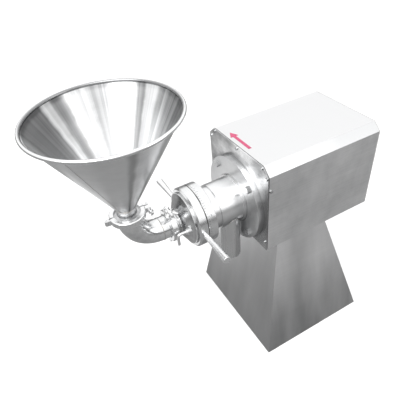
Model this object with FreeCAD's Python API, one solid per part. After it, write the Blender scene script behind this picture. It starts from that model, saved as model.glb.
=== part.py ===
import FreeCAD, Part
import math
import os

# Colloid mill on a pedestal, driven by an enclosed motor, with a hopper on an elbow.
# Millimetres. The origin is on the floor at the centre of the pedestal's foot.
# X runs along the shaft from the inlet towards the motor, Y across, Z up.

full_turn = 360.0
half_turn = 180.0
quarter_turn = 90.0

# Common clearances and sheet sizes
fit_gap = 0.1
screw_gap = 0.3
run_gap = 0.4
edge_margin = 8.0
root_overlap = 1.0

# Hexagon bolts and nuts, as shares of the thread's radius
hex_half_share = 1.6
head_height_share = 1.2
nut_height_share = 1.5
thread_end_share = 1.8

# Motor's shaft height above its feet and the plane of the cover's front plate
motor_shaft_height = 100.0
face_x = -160.0

# Pedestal
base_length = 376.0
base_width = 412.0
pedestal_height = 412.0
pedestal_top_length = 176.0
pedestal_top_x = -34.0
pedestal_wall = 3.0
foot_frame_width = 42.0
foot_frame_thick = 6.0
anchor_hole_radius = 7.0

# Bed plate between pedestal and motor
bed_thick = 6.0
bed_bolt_radius = 5.0
bed_bolt_inset_x = 28.0
bed_bolt_offset = 10.0
cable_hole_radius = 16.0
cable_hole_x = -6.0
grommet_wall = 4.0
grommet_lip = 5.0
grommet_lip_thick = 1.5

# Motor cover
cover_length = 374.0
cover_width = 280.0
cover_height = 266.0
cover_chamfer_y = 24.0
cover_chamfer_z = 22.0
cover_sheet = 1.5
cover_lip = 20.0
front_plate_thick = 3.0
rear_panel_thick = 2.0
louvre_rows = 11
louvre_length = 78.0
louvre_height = 5.0
louvre_pitch = 14.0
louvre_column_y = 52.0
cover_screw_radius = 2.5
cover_screw_head_radius = 4.6
cover_screw_head_height = 3.0
cover_screw_length = 9.0
side_screw_x = 9.0
side_screw_rise = 100.0
low_screw_rise = 22.0
floor_screw_inset = 20.0
arrow_length = 98.0
arrow_width = 9.0
arrow_head_length = 24.0
arrow_head_width = 24.0
arrow_thick = 0.6
arrow_inset = 22.0
arrow_middle_y = 18.0

# Motor housing
motor_flange_radius = 125.0
motor_flange_thick = 14.0
spigot_radius = 90.0
spigot_length = 4.0
motor_bolt_circle_radius = 107.5
motor_bolt_radius = 6.0
frame_bore_radius = 80.0
frame_wall = 10.0
fin_height = 8.0
fin_thick = 2.6
fin_count = 36
frame_start = 45.0
frame_end = 262.0
shield_spigot = 5.0
shield_wall = 9.0
foot_bolt_spacing_x = 140.0
foot_bolt_spacing_y = 160.0
foot_bolt_first = 66.0
foot_thick = 11.0
foot_width = 36.0
foot_overhang = 18.0
foot_bolt_radius = 5.0
stator_core_bore = 55.0
stator_core_start = 93.0
stator_core_end = 217.0
winding_length = 22.0
winding_inner_radius = 58.5
winding_outer_radius = 76.0
rotor_core_radius = 54.3
rotor_core_start = 95.0
rotor_core_end = 215.0
end_ring_thick = 7.0
end_ring_depth = 16.0
bearing_outer_radius = 31.0
bearing_width = 16.0
bearing_ring_thick = 4.5
drive_bearing_start = 22.0
rear_bearing_start = 258.0
fan_start = 286.0
fan_width = 20.0
fan_radius = 78.0
fan_hub_radius = 20.0
fan_blade_count = 7
fan_blade_thick = 3.0
fan_cover_radius = 97.0
fan_cover_sheet = 1.6
fan_cover_end = 323.0
grille_rings = 4
grille_slot = 9.0
grille_bar = 7.0
grille_hub_radius = 16.0
grille_spoke = 9.0
terminal_box_length = 92.0
terminal_box_width = 100.0
terminal_box_start = 96.0
terminal_box_top = 142.0
terminal_box_wall = 4.0
terminal_lid_thick = 6.0
gland_radius = 11.0
gland_bore = 7.0
gland_length = 18.0
gland_cap_wall = 4.0

# Shaft
bearing_seat_radius = 15.0
core_seat_radius = 19.0
seal_seat_radius = 14.0
grinder_seat_radius = 11.0
nut_thread_radius = 8.0
fan_seat_radius = 10.0
shaft_front = -180.0
shaft_rear = 310.0

# Mill body with its tangential outlet
mill_flange_radius = 125.0
mill_flange_thick = 16.0
body_radius = 66.0
body_boss_radius = 70.0
body_boss_length = 6.0
body_front = -90.0
neck_radius = 62.0
neck_front = -150.0
chamber_radius = 56.0
chamber_front = -112.0
outlet_radius = 31.75
outlet_wall = 2.0
outlet_x = -52.0
outlet_y = -30.0
outlet_drop = 173.0
outlet_rise = 13.0
flange_bolt_head = 9.0
flange_bolt_head_height = 7.5
flange_nut_height = 10.0
flange_bolt_reach = 1.0
spigot_recess = 2.0

# Shaft seal
seal_ring_radius = 22.0
seal_ring_thick = 8.0
seal_pocket = 2.0
seal_face_radius = 20.5
seal_face_thick = 6.0
bellows_length = 24.0
bellows_folds = 4
bellows_inner = 17.5
bellows_outer = 23.0

# Grinding rotor and stator
grinder_front = -168.0
grinder_rear = -112.0
grinder_front_radius = 30.0
grinder_rear_radius = 42.0
grinding_gap = 0.6
tooth_count = 18
tooth_depth = 3.0
tooth_width = 4.0
tooth_slot_overrun = 1.3
stator_extra_teeth = 2
pump_blade_count = 6
pump_blade_length = 12.0
pump_blade_thick = 5.0
key_width = 6.0
key_height = 6.0
key_length = 32.0
cap_nut_radius = 14.0
cap_nut_length = 13.0
cap_nut_dome = 4.3
cap_nut_flat_half = 12.9
stator_radius = 52.0
stator_front = -172.0
stator_rear = -114.0
o_ring_thick = 3.2
o_ring_x = -138.0

# Scale ring, adjusting ring and their handles
ring_radius = 86.0
scale_ring_front = -143.0
scale_ring_rear = -116.0
ring_groove = 1.6
adjust_ring_front = -171.0
ring_chamfer = 4.5
ring_bevel = 1.0
adjust_wall = 9.0
adjust_nut_front = -152.0
adjust_bore_radius = 80.3
handle_x = -158.5
handle_stem_radius = 5.0
handle_root_radius = 6.5
handle_tip_radius = 10.5
handle_stem_length = 6.0
handle_tip_y = 195.0
handle_round = 1.2
set_screw_radius = 3.0
set_screw_length = 16.0
set_screw_count = 3

# Front cover with the inlet neck
cover_flange_radius = 80.0
cover_lip_radius = 75.0
cover_lip_front = -176.0
cover_cone_front = -197.0
cover_cone_top_radius = 38.0
cover_cone_base_radius = 73.0
cover_collar_radius = 36.0
cover_collar_length = 4.0
guide_pin_radius = 2.5
guide_pin_circle = 57.2
guide_pin_depth = 12.0
guide_pin_reach = 8.0
guide_pin_room = 0.8

# Locking lever on the cover
lever_y = -54.0
lever_rise = 4.0
lever_rod_radius = 4.0
lever_bend_radius = 8.0
lever_reach = 28.0
lever_tail = 34.0
lever_collar_radius = 7.0
lever_collar_length = 5.0
lever_boss_radius = 9.0
lever_boss_front = -193.0
lever_thread_length = 10.0
lever_thread_room = 1.0

# Pipe joints
pipe_radius = 31.75
pipe_wall = 2.0
joint_x = -219.0
ferrule_radius = 38.75
ferrule_rim = 2.8
ferrule_neck_drop = 4.0
ferrule_slope = math.tan(math.radians(20.0))
gasket_thick = 1.6
bend_radius = 76.0
level_leg = 28.6
upright_leg = 12.7

# Clamps
clamp_radius = 46.0
clamp_half_width = 9.0
clamp_seat_gap = 0.25
clamp_split = 1.5
clamp_bevel = 2.0
lug_root = 1.5
clamp_pin_distance = 54.0
clamp_pin_radius = 2.5
knuckle_radius = 6.0
knuckle_half_width = 7.0
knuckle_tongue = 3.0
lug_reach = 4.0
lug_height = 13.0
lug_slot = 4.3
eye_radius = 6.0
eye_half_width = 3.8
eye_bolt_radius = 3.6
eye_pivot = 7.0
eye_bolt_length = 40.0
wing_hub_radius = 7.0
wing_hub_length = 9.0
wing_thick = 3.0
wing_root_rise = 1.5
wing_knee_radius = 14.5
wing_knee_rise = 12.0
wing_tip_radius = 18.0
wing_tip_rise = 17.5
wing_end_radius = 14.0
wing_end_rise = 20.0

# Hopper
hopper_neck_radius = 25.5
hopper_sheet = 1.6
hopper_neck_length = 27.3
hopper_cone_height = 246.0
hopper_cone_radius = 166.0
hopper_lip = 2.0
hopper_panel_count = 4
rim_wire_radius = 4.5
rim_wire_offset = 4.5
rim_wire_rise = 2.0

# Values that follow from the sizes above
bed_z = pedestal_height + bed_thick
axis_z = bed_z + motor_shaft_height
anchor_spacing_x = base_length - foot_frame_width
anchor_spacing_y = base_width - foot_frame_width
bed_bolt_spacing_x = pedestal_top_length - 2.0 * bed_bolt_inset_x
motor_side = frame_bore_radius + frame_wall + fin_height
bed_bolt_spacing_y = 2.0 * (motor_side + bed_bolt_offset)
pedestal_top_width = cover_width
side_screw_z = axis_z + side_screw_rise
low_screw_z = bed_z + low_screw_rise
outlet_bottom_z = axis_z - outlet_drop
outlet_top_z = axis_z - outlet_rise
lever_z = axis_z + lever_rise
cover_top_z = bed_z + cover_height
cover_half = cover_width / 2.0
cover_end_x = face_x + cover_length
motor_face = front_plate_thick
hopper_x = joint_x - level_leg - bend_radius
hopper_joint_z = axis_z + bend_radius + upright_leg
hopper_cone_bottom_z = hopper_joint_z + hopper_neck_length
hopper_cone_top_z = hopper_cone_bottom_z + hopper_cone_height
rim_centre_radius = hopper_cone_radius + rim_wire_offset
rim_centre_z = hopper_cone_top_z + rim_wire_rise
grinder_slope = (grinder_rear_radius - grinder_front_radius) / (grinder_rear - grinder_front)


def vec(x, y, z):
    """Point or direction."""
    return FreeCAD.Vector(x, y, z)


def along(distance):
    """Row X of a distance measured from the front plate's face."""
    return face_x + distance


def block(x_start, x_end, y_start, y_end, z_start, z_end):
    """Box between two corners."""
    return Part.makeBox(x_end - x_start, y_end - y_start, z_end - z_start, vec(x_start, y_start, z_start))


def rod_x(radius, start, end, y=0.0, z=axis_z):
    """Cylinder along X; start and end are measured from the front plate's face."""
    return Part.makeCylinder(radius, end - start, vec(along(start), y, z), vec(1, 0, 0))


def rod_y(radius, start, end, x, z):
    """Cylinder along Y."""
    return Part.makeCylinder(radius, end - start, vec(x, start, z), vec(0, 1, 0))


def rod_z(radius, start, end, x, y):
    """Cylinder along Z."""
    return Part.makeCylinder(radius, end - start, vec(x, y, start), vec(0, 0, 1))


def tube_x(outer, inner, start, end, y=0.0, z=axis_z):
    """Tube along X."""
    return rod_x(outer, start, end, y, z).cut(rod_x(inner, start, end, y, z))


def turned_x(points):
    """Solid turned about the shaft line from (distance, radius) corners."""
    corners = [vec(along(x), 0, axis_z + r) for x, r in points]
    face = Part.Face(Part.makePolygon(corners + corners[:1]))
    return face.revolve(vec(0, 0, axis_z), vec(1, 0, 0), full_turn)


def turned_z(points, x, degrees=full_turn):
    """Solid turned about an upright line at x from (radius, height) corners."""
    corners = [vec(x + r, 0, z) for r, z in points]
    face = Part.Face(Part.makePolygon(corners + corners[:1]))
    return face.revolve(vec(x, 0, 0), vec(0, 0, 1), degrees)


def turned_about_x(shape, degrees):
    """Copy of a shape turned about the shaft line."""
    turned = shape.copy()
    turned.rotate(vec(0, 0, axis_z), vec(1, 0, 0), degrees)
    return turned


def hex_x(across_half, start, end, y=0.0, z=axis_z):
    """Hexagonal bar along X with half its width across flats given."""
    reach = across_half / math.cos(math.pi / 6)
    corners = [
        vec(along(start), y + reach * math.cos(k * math.pi / 3), z + reach * math.sin(k * math.pi / 3))
        for k in range(7)
    ]
    return Part.Face(Part.makePolygon(corners)).extrude(vec(end - start, 0, 0))


def hex_z(across_half, start, end, x, y):
    """Hexagonal bar along Z."""
    reach = across_half / math.cos(math.pi / 6)
    corners = [
        vec(x + reach * math.cos(k * math.pi / 3), y + reach * math.sin(k * math.pi / 3), start)
        for k in range(7)
    ]
    return Part.Face(Part.makePolygon(corners)).extrude(vec(0, 0, end - start))


def joined(shapes):
    """One solid from overlapping shapes."""
    return shapes[0].multiFuse(shapes[1:]).removeSplitter()


def grouped(shapes):
    """Separate solids kept in one node."""
    return Part.makeCompound(shapes)


def circle_places(radius, count, first_degrees):
    """(y, z) places evenly spaced on a circle about the shaft line."""
    places = []
    for k in range(count):
        angle = math.radians(first_degrees + full_turn * k / count)
        places.append((radius * math.cos(angle), axis_z + radius * math.sin(angle)))
    return places


def export(node, shape):
    """Write one node to its file."""
    shape.exportStep("parts/" + node + ".step")


# Pedestal and bed

def pedestal_section(z, inset):
    """Rectangle of the pedestal at a height, moved inwards by an inset."""
    share = z / pedestal_height
    half_length = (base_length + (pedestal_top_length - base_length) * share) / 2.0 - inset
    half_width = (base_width + (pedestal_top_width - base_width) * share) / 2.0 - inset
    middle = pedestal_top_x * share
    corners = [
        vec(middle - half_length, -half_width, z),
        vec(middle + half_length, -half_width, z),
        vec(middle + half_length, half_width, z),
        vec(middle - half_length, half_width, z),
    ]
    return Part.makePolygon(corners + corners[:1])


def pedestal_block(bottom, top, inset):
    """Solid of the pedestal's tapering shape between two heights."""
    return Part.makeLoft([pedestal_section(bottom, inset), pedestal_section(top, inset)], True, True)


def bed_bolt_places():
    """Places of the bolts that hold the bed plate on the pedestal."""
    return [
        (pedestal_top_x + sx * bed_bolt_spacing_x / 2.0, sy * bed_bolt_spacing_y / 2.0)
        for sx in (-1, 1)
        for sy in (-1, 1)
    ]


def make_pedestal_shell():
    """Folded sheet pedestal, open below, closed by its own top sheet."""
    hollow_top = pedestal_height - pedestal_wall
    shell = pedestal_block(0, pedestal_height, 0).cut(pedestal_block(0, hollow_top, pedestal_wall))
    for x, y in bed_bolt_places():
        shell = shell.cut(rod_z(bed_bolt_radius + screw_gap, hollow_top, pedestal_height, x, y))
    return shell.cut(rod_z(cable_hole_radius, hollow_top, pedestal_height, cable_hole_x, 0))


def make_foot_frame():
    """Flat frame inside the pedestal's foot with the four anchor holes."""
    outside = pedestal_block(0, foot_frame_thick, pedestal_wall + fit_gap)
    half_x = base_length / 2.0 - foot_frame_width
    half_y = base_width / 2.0 - foot_frame_width
    frame = outside.cut(block(-half_x, half_x, -half_y, half_y, 0, foot_frame_thick))
    for sx in (-1, 1):
        for sy in (-1, 1):
            x = sx * anchor_spacing_x / 2.0
            y = sy * anchor_spacing_y / 2.0
            frame = frame.cut(rod_z(anchor_hole_radius, 0, foot_frame_thick, x, y))
    return frame


def motor_foot_places():
    """Places of the motor's foot bolts."""
    first = along(foot_bolt_first)
    return [
        (x, sy * foot_bolt_spacing_y / 2.0)
        for x in (first, first + foot_bolt_spacing_x)
        for sy in (-1, 1)
    ]


def floor_screw_places():
    """Places of the screws that hold the cover down on the bed plate."""
    y = cover_half - cover_sheet - cover_lip / 2.0
    return [
        (x, sy * y)
        for x in (along(floor_screw_inset), cover_end_x - floor_screw_inset)
        for sy in (-1, 1)
    ]


def make_bed_plate():
    """Plate under the motor, notched for the motor's flange."""
    plate = block(along(front_plate_thick), cover_end_x - rear_panel_thick, -cover_half, cover_half,
                  pedestal_height, bed_z)
    notch_end = motor_face + motor_flange_thick + edge_margin / 2.0
    plate = plate.cut(rod_x(motor_flange_radius + edge_margin / 2.0, motor_face, notch_end))
    for x, y in bed_bolt_places():
        plate = plate.cut(rod_z(bed_bolt_radius + screw_gap, pedestal_height, bed_z, x, y))
    for x, y in motor_foot_places():
        plate = plate.cut(rod_z(foot_bolt_radius + screw_gap, pedestal_height, bed_z, x, y))
    for x, y in floor_screw_places():
        plate = plate.cut(rod_z(cover_screw_radius + screw_gap, pedestal_height, bed_z, x, y))
    return plate.cut(rod_z(cable_hole_radius, pedestal_height, bed_z, cable_hole_x, 0))


def through_bolt(x, y, top_z, bottom_z, radius):
    """Hexagon bolt from above with its nut below."""
    half = radius * hex_half_share
    head = hex_z(half, top_z, top_z + radius * head_height_share, x, y)
    shank = rod_z(radius, bottom_z - radius * thread_end_share, top_z, x, y)
    nut = hex_z(half, bottom_z - radius * nut_height_share, bottom_z, x, y)
    return joined([head, shank, nut])


def make_bed_bolts():
    """Four bolts between the bed plate and the pedestal."""
    bottom = pedestal_height - pedestal_wall
    return grouped([through_bolt(x, y, bed_z, bottom, bed_bolt_radius) for x, y in bed_bolt_places()])


def make_cable_grommet():
    """Rubber ring round the edge of the cable hole."""
    outer = cable_hole_radius - fit_gap
    inner = cable_hole_radius - grommet_wall
    points = [
        (inner, pedestal_height - pedestal_wall),
        (outer, pedestal_height - pedestal_wall),
        (outer, bed_z),
        (outer + grommet_lip, bed_z),
        (outer + grommet_lip, bed_z + grommet_lip_thick),
        (inner, bed_z + grommet_lip_thick),
    ]
    return turned_z(points, cable_hole_x)


# Motor cover

def cover_outline(inset, bottom_z, x):
    """Cover's cross-section with the two bevelled upper edges, moved inwards."""
    half = cover_half - inset
    top = cover_top_z - inset
    diagonal = math.hypot(cover_chamfer_y, cover_chamfer_z)
    trim_y = inset * (diagonal - cover_chamfer_y) / cover_chamfer_z
    trim_z = inset * (diagonal - cover_chamfer_z) / cover_chamfer_y
    shoulder_y = cover_half - cover_chamfer_y - trim_z
    shoulder_z = cover_top_z - cover_chamfer_z - trim_y
    corners = [
        vec(x, -half, bottom_z),
        vec(x, half, bottom_z),
        vec(x, half, shoulder_z),
        vec(x, shoulder_y, top),
        vec(x, -shoulder_y, top),
        vec(x, -half, shoulder_z),
    ]
    return Part.Face(Part.makePolygon(corners + corners[:1]))


def cover_block(inset, bottom_z, x_start, x_end):
    """Solid with the cover's cross-section."""
    return cover_outline(inset, bottom_z, x_start).extrude(vec(x_end - x_start, 0, 0))


def end_screw_places():
    """(y, z) places of the screws round the front plate and the rear panel."""
    top_z = cover_top_z - edge_margin
    side_y = cover_half - edge_margin
    shoulder_y = cover_half - cover_chamfer_y - edge_margin / 2.0
    shoulder_z = cover_top_z - cover_chamfer_z - edge_margin
    places = [(0.0, top_z)]
    for side in (-1, 1):
        places.append((side * shoulder_y, top_z))
        places.append((side * side_y, shoulder_z))
        places.append((side * side_y, low_screw_z))
    return places


def make_motor_cover():
    """Sheet cover with inward lips at both ends and along the bed plate."""
    front = along(front_plate_thick)
    rear = cover_end_x - rear_panel_thick
    shell = cover_block(0, bed_z, front, rear)
    shell = shell.cut(cover_block(cover_sheet, bed_z + cover_sheet, front + cover_sheet, rear - cover_sheet))
    shell = shell.cut(cover_block(cover_sheet + cover_lip, bed_z + cover_sheet, front, rear))
    half = cover_half - cover_sheet - cover_lip
    shell = shell.cut(block(front, rear, -half, half, bed_z, bed_z + cover_sheet))
    hole = cover_screw_radius + screw_gap
    for y, z in end_screw_places():
        shell = shell.cut(rod_x(hole, 0, cover_length, y, z))
    for x, y in floor_screw_places():
        shell = shell.cut(rod_z(hole, bed_z, bed_z + cover_sheet, x, y))
    flange_room = rod_x(motor_flange_radius + screw_gap, front_plate_thick, front_plate_thick + cover_sheet)
    shell = shell.cut(flange_room)
    side_hole = rod_y(hole, -cover_width, cover_width, along(side_screw_x), side_screw_z)
    return shell.cut(side_hole)


def make_front_plate():
    """Flat front plate between the motor's flange and the mill's flange."""
    plate = cover_block(0, pedestal_height, face_x, along(front_plate_thick))
    plate = plate.cut(rod_x(spigot_radius + fit_gap, 0, front_plate_thick))
    for y, z in circle_places(motor_bolt_circle_radius, 4, half_turn / 4):
        plate = plate.cut(rod_x(motor_bolt_radius + screw_gap, 0, front_plate_thick, y, z))
    for y, z in end_screw_places():
        plate = plate.cut(rod_x(cover_screw_radius + screw_gap, 0, front_plate_thick, y, z))
    return plate


def make_rear_panel():
    """Rear panel with two columns of cooling slots."""
    start = cover_length - rear_panel_thick
    plate = cover_block(0, pedestal_height, along(start), cover_end_x)
    for side in (-1, 1):
        for row in range(louvre_rows):
            z = axis_z + (row - (louvre_rows - 1) / 2.0) * louvre_pitch
            y = side * louvre_column_y
            slot = block(along(start), cover_end_x, y - louvre_length / 2.0, y + louvre_length / 2.0,
                         z - louvre_height / 2.0, z + louvre_height / 2.0)
            plate = plate.cut(slot)
    for y, z in end_screw_places():
        plate = plate.cut(rod_x(cover_screw_radius + screw_gap, start, cover_length, y, z))
    return plate


def screw_x(y, z, seat, direction):
    """Pan-head screw along X with its head on the seat, pointing in a direction."""
    head_end = seat - direction * cover_screw_head_height
    tip = seat + direction * cover_screw_length
    head = rod_x(cover_screw_head_radius, min(seat, head_end), max(seat, head_end), y, z)
    shank = rod_x(cover_screw_radius, min(seat, tip), max(seat, tip), y, z)
    return joined([head, shank])


def make_end_plate_screws():
    """Screws round the front plate and round the rear panel."""
    front = [screw_x(y, z, 0.0, 1) for y, z in end_screw_places()]
    rear = [screw_x(y, z, cover_length, -1) for y, z in end_screw_places()]
    return grouped(front + rear)


def make_cover_screws():
    """Side screws near the front plate, and screws from below through the bed plate."""
    x = along(side_screw_x)
    screws = []
    for side in (-1, 1):
        inner = side * (cover_half - cover_screw_length)
        outer = side * (cover_half + cover_screw_head_height)
        seat = side * cover_half
        head = rod_y(cover_screw_head_radius, min(seat, outer), max(seat, outer), x, side_screw_z)
        shank = rod_y(cover_screw_radius, min(seat, inner), max(seat, inner), x, side_screw_z)
        screws.append(joined([head, shank]))
    for x, y in floor_screw_places():
        head_bottom = pedestal_height - cover_screw_head_height
        head = rod_z(cover_screw_head_radius, head_bottom, pedestal_height, x, y)
        shank = rod_z(cover_screw_radius, pedestal_height, pedestal_height + cover_screw_length, x, y)
        screws.append(joined([head, shank]))
    return grouped(screws)


def make_rotation_arrow():
    """Thin arrow on top of the cover that shows the turning direction."""
    x = along(arrow_inset)
    tail = arrow_middle_y - arrow_length / 2.0
    tip = arrow_middle_y + arrow_length / 2.0
    neck = tip - arrow_head_length
    corners = [
        vec(x - arrow_width / 2.0, tail, cover_top_z),
        vec(x + arrow_width / 2.0, tail, cover_top_z),
        vec(x + arrow_width / 2.0, neck, cover_top_z),
        vec(x + arrow_head_width / 2.0, neck, cover_top_z),
        vec(x, tip, cover_top_z),
        vec(x - arrow_head_width / 2.0, neck, cover_top_z),
        vec(x - arrow_width / 2.0, neck, cover_top_z),
    ]
    return Part.Face(Part.makePolygon(corners + corners[:1])).extrude(vec(0, 0, arrow_thick))


# Motor

def make_motor_frame():
    """Finned motor frame with its two feet."""
    outer = frame_bore_radius + frame_wall
    body = rod_x(outer, frame_start, frame_end)
    fins = []
    for k in range(fin_count):
        fin = block(along(frame_start + shield_wall), along(frame_end - shield_wall),
                    -fin_thick / 2.0, fin_thick / 2.0,
                    axis_z + outer - root_overlap, axis_z + outer + fin_height)
        fins.append(turned_about_x(fin, full_turn * k / fin_count))
    first = along(foot_bolt_first)
    last = first + foot_bolt_spacing_x
    feet = []
    for side in (-1, 1):
        near = side * (foot_bolt_spacing_y / 2.0 - foot_width / 2.0)
        far = side * (foot_bolt_spacing_y / 2.0 + foot_width / 2.0)
        feet.append(block(first - foot_overhang, last + foot_overhang, min(near, far), max(near, far),
                          bed_z, bed_z + foot_thick))
        for x in (first + foot_width / 2.0, last - foot_width / 2.0):
            feet.append(block(x - foot_thick / 2.0, x + foot_thick / 2.0, min(near, far), max(near, far),
                              bed_z, axis_z - frame_bore_radius / 2.0))
    pad = block(along(terminal_box_start), along(terminal_box_start + terminal_box_length),
                -terminal_box_width / 2.0, terminal_box_width / 2.0,
                axis_z, axis_z + outer + fin_height + fit_gap)
    frame = joined([body, pad] + fins + feet)
    frame = frame.cut(rod_x(frame_bore_radius, frame_start, frame_end))
    for x, y in motor_foot_places():
        frame = frame.cut(rod_z(foot_bolt_radius + screw_gap, bed_z, bed_z + foot_thick, x, y))
    return frame


def make_motor_flange_shield():
    """Drive end shield with the large mounting flange and the spigot."""
    hub = drive_bearing_start + bearing_width
    bore = bearing_outer_radius + fit_gap / 2.0
    shaft_hole = bearing_seat_radius + run_gap
    shoulder = frame_bore_radius + frame_wall
    points = [
        (motor_face - spigot_length, shaft_hole),
        (motor_face - spigot_length, spigot_radius),
        (motor_face, spigot_radius),
        (motor_face, motor_flange_radius),
        (motor_face + motor_flange_thick, motor_flange_radius),
        (motor_face + motor_flange_thick, shoulder),
        (frame_start, shoulder),
        (frame_start, frame_bore_radius - fit_gap),
        (frame_start + shield_spigot, frame_bore_radius - fit_gap),
        (frame_start + shield_spigot, frame_bore_radius - shield_wall),
        (drive_bearing_start, frame_bore_radius - shield_wall),
        (drive_bearing_start, bore + shield_wall),
        (hub, bore + shield_wall),
        (hub, bore),
        (drive_bearing_start, bore),
        (drive_bearing_start, shaft_hole),
    ]
    shield = turned_x(points)
    for y, z in circle_places(motor_bolt_circle_radius, 4, half_turn / 4):
        shield = shield.cut(rod_x(motor_bolt_radius + screw_gap, motor_face,
                                  motor_face + motor_flange_thick, y, z))
    return shield


def make_motor_rear_shield():
    """Rear end shield that carries the rear bearing and the fan cover."""
    bore = bearing_outer_radius + fit_gap / 2.0
    rim = fan_cover_radius - fan_cover_sheet - fit_gap
    rear = rear_bearing_start + bearing_width
    points = [
        (frame_end - shield_spigot, frame_bore_radius - shield_wall),
        (frame_end - shield_spigot, frame_bore_radius - fit_gap),
        (frame_end, frame_bore_radius - fit_gap),
        (frame_end, rim),
        (frame_end + shield_wall, rim),
        (rear + shield_wall / 2.0, bore + shield_wall),
        (rear + shield_wall / 2.0, bearing_seat_radius + run_gap),
        (rear, bearing_seat_radius + run_gap),
        (rear, bore),
        (rear_bearing_start, bore),
        (rear_bearing_start, bore + shield_wall),
        (frame_end, frame_bore_radius - shield_wall),
    ]
    return turned_x(points)


def make_motor_foot_bolts():
    """Four bolts through the motor's feet into the bed plate."""
    seat = bed_z + foot_thick
    half_head = foot_bolt_radius * hex_half_share
    head_top = seat + foot_bolt_radius * head_height_share
    bolts = []
    for x, y in motor_foot_places():
        head = hex_z(half_head, seat, head_top, x, y)
        bolts.append(joined([head, rod_z(foot_bolt_radius, pedestal_height, seat, x, y)]))
    return grouped(bolts)


def make_stator_core():
    """Laminated stator core."""
    return tube_x(frame_bore_radius - fit_gap, stator_core_bore, stator_core_start, stator_core_end)


def make_stator_windings():
    """End windings on both sides of the stator core."""
    front = tube_x(winding_outer_radius, winding_inner_radius, stator_core_start - winding_length,
                   stator_core_start)
    rear = tube_x(winding_outer_radius, winding_inner_radius, stator_core_end,
                  stator_core_end + winding_length)
    return grouped([front, rear])


def make_rotor_core():
    """Rotor core with a cast end ring on each side."""
    bore = core_seat_radius + fit_gap / 2.0
    ring_inner = rotor_core_radius - end_ring_depth
    points = [
        (rotor_core_start, bore),
        (rotor_core_start, ring_inner),
        (rotor_core_start - end_ring_thick, ring_inner),
        (rotor_core_start - end_ring_thick, rotor_core_radius),
        (rotor_core_end + end_ring_thick, rotor_core_radius),
        (rotor_core_end + end_ring_thick, ring_inner),
        (rotor_core_end, ring_inner),
        (rotor_core_end, bore),
    ]
    return turned_x(points)


def bearing_starts():
    """Front faces of the two motor bearings."""
    return (drive_bearing_start, rear_bearing_start)


def make_bearing_outer_rings():
    """Outer rings of both bearings."""
    inner = bearing_outer_radius - bearing_ring_thick
    return grouped([tube_x(bearing_outer_radius, inner, s, s + bearing_width) for s in bearing_starts()])


def make_bearing_inner_rings():
    """Inner rings of both bearings with their seals."""
    bore = bearing_seat_radius + fit_gap / 2.0
    outer = bearing_outer_radius - bearing_ring_thick - run_gap
    return grouped([tube_x(outer, bore, s, s + bearing_width) for s in bearing_starts()])


def make_drive_shaft():
    """One shaft through motor, seal and grinding rotor."""
    points = [
        (shaft_front, 0),
        (shaft_front, nut_thread_radius),
        (grinder_front, nut_thread_radius),
        (grinder_front, grinder_seat_radius),
        (grinder_rear, grinder_seat_radius),
        (grinder_rear, seal_seat_radius),
        (drive_bearing_start, seal_seat_radius),
        (drive_bearing_start, bearing_seat_radius),
        (drive_bearing_start + bearing_width, bearing_seat_radius),
        (drive_bearing_start + bearing_width, core_seat_radius),
        (rear_bearing_start, core_seat_radius),
        (rear_bearing_start, bearing_seat_radius),
        (rear_bearing_start + bearing_width, bearing_seat_radius),
        (rear_bearing_start + bearing_width, fan_seat_radius),
        (shaft_rear, fan_seat_radius),
        (shaft_rear, 0),
    ]
    return turned_x(points).cut(key_block(fit_gap))


def key_block(gap):
    """Shape of the key of the grinding rotor, widened by a gap."""
    middle = (grinder_front + grinder_rear) / 2.0
    seat = axis_z + grinder_seat_radius - key_height / 2.0
    return block(along(middle - key_length / 2.0) - gap, along(middle + key_length / 2.0) + gap,
                 -key_width / 2.0 - gap, key_width / 2.0 + gap, seat - gap, seat + key_height + gap)


def make_motor_fan():
    """Radial fan on the rear end of the shaft."""
    hub = rod_x(fan_hub_radius, fan_start, fan_start + fan_width)
    disc = rod_x(fan_radius, fan_start, fan_start + fan_blade_thick)
    blades = []
    for k in range(fan_blade_count):
        blade = block(along(fan_start), along(fan_start + fan_width), -fan_blade_thick / 2.0,
                      fan_blade_thick / 2.0, axis_z + fan_hub_radius / 2.0, axis_z + fan_radius)
        blades.append(turned_about_x(blade, full_turn * k / fan_blade_count))
    fan = joined([hub, disc] + blades)
    return fan.cut(rod_x(fan_seat_radius + fit_gap / 2.0, fan_start, fan_start + fan_width))


def make_fan_cover():
    """Fan cover with ring slots in its end."""
    end_inner = fan_cover_end - fan_cover_sheet
    cup = rod_x(fan_cover_radius, frame_end, fan_cover_end)
    cup = cup.cut(rod_x(fan_cover_radius - fan_cover_sheet, frame_end, end_inner))
    slots = []
    for k in range(grille_rings):
        inner = grille_hub_radius + k * (grille_slot + grille_bar)
        slots.append(tube_x(inner + grille_slot, inner, end_inner, fan_cover_end))
    spoke = block(along(end_inner), along(fan_cover_end), -grille_spoke / 2.0, grille_spoke / 2.0,
                  axis_z - fan_cover_radius, axis_z + fan_cover_radius)
    spokes = spoke.fuse(turned_about_x(spoke, quarter_turn))
    for slot in slots:
        cup = cup.cut(slot.cut(spokes))
    return cup


def terminal_box_shape(inset, bottom, top):
    """Block of the terminal box, moved inwards."""
    start = along(terminal_box_start) + inset
    end = along(terminal_box_start + terminal_box_length) - inset
    half = terminal_box_width / 2.0 - inset
    return block(start, end, -half, half, bottom, top)


def terminal_box_floor():
    """Height of the pad that carries the terminal box."""
    return axis_z + frame_bore_radius + frame_wall + fin_height + fit_gap


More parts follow.
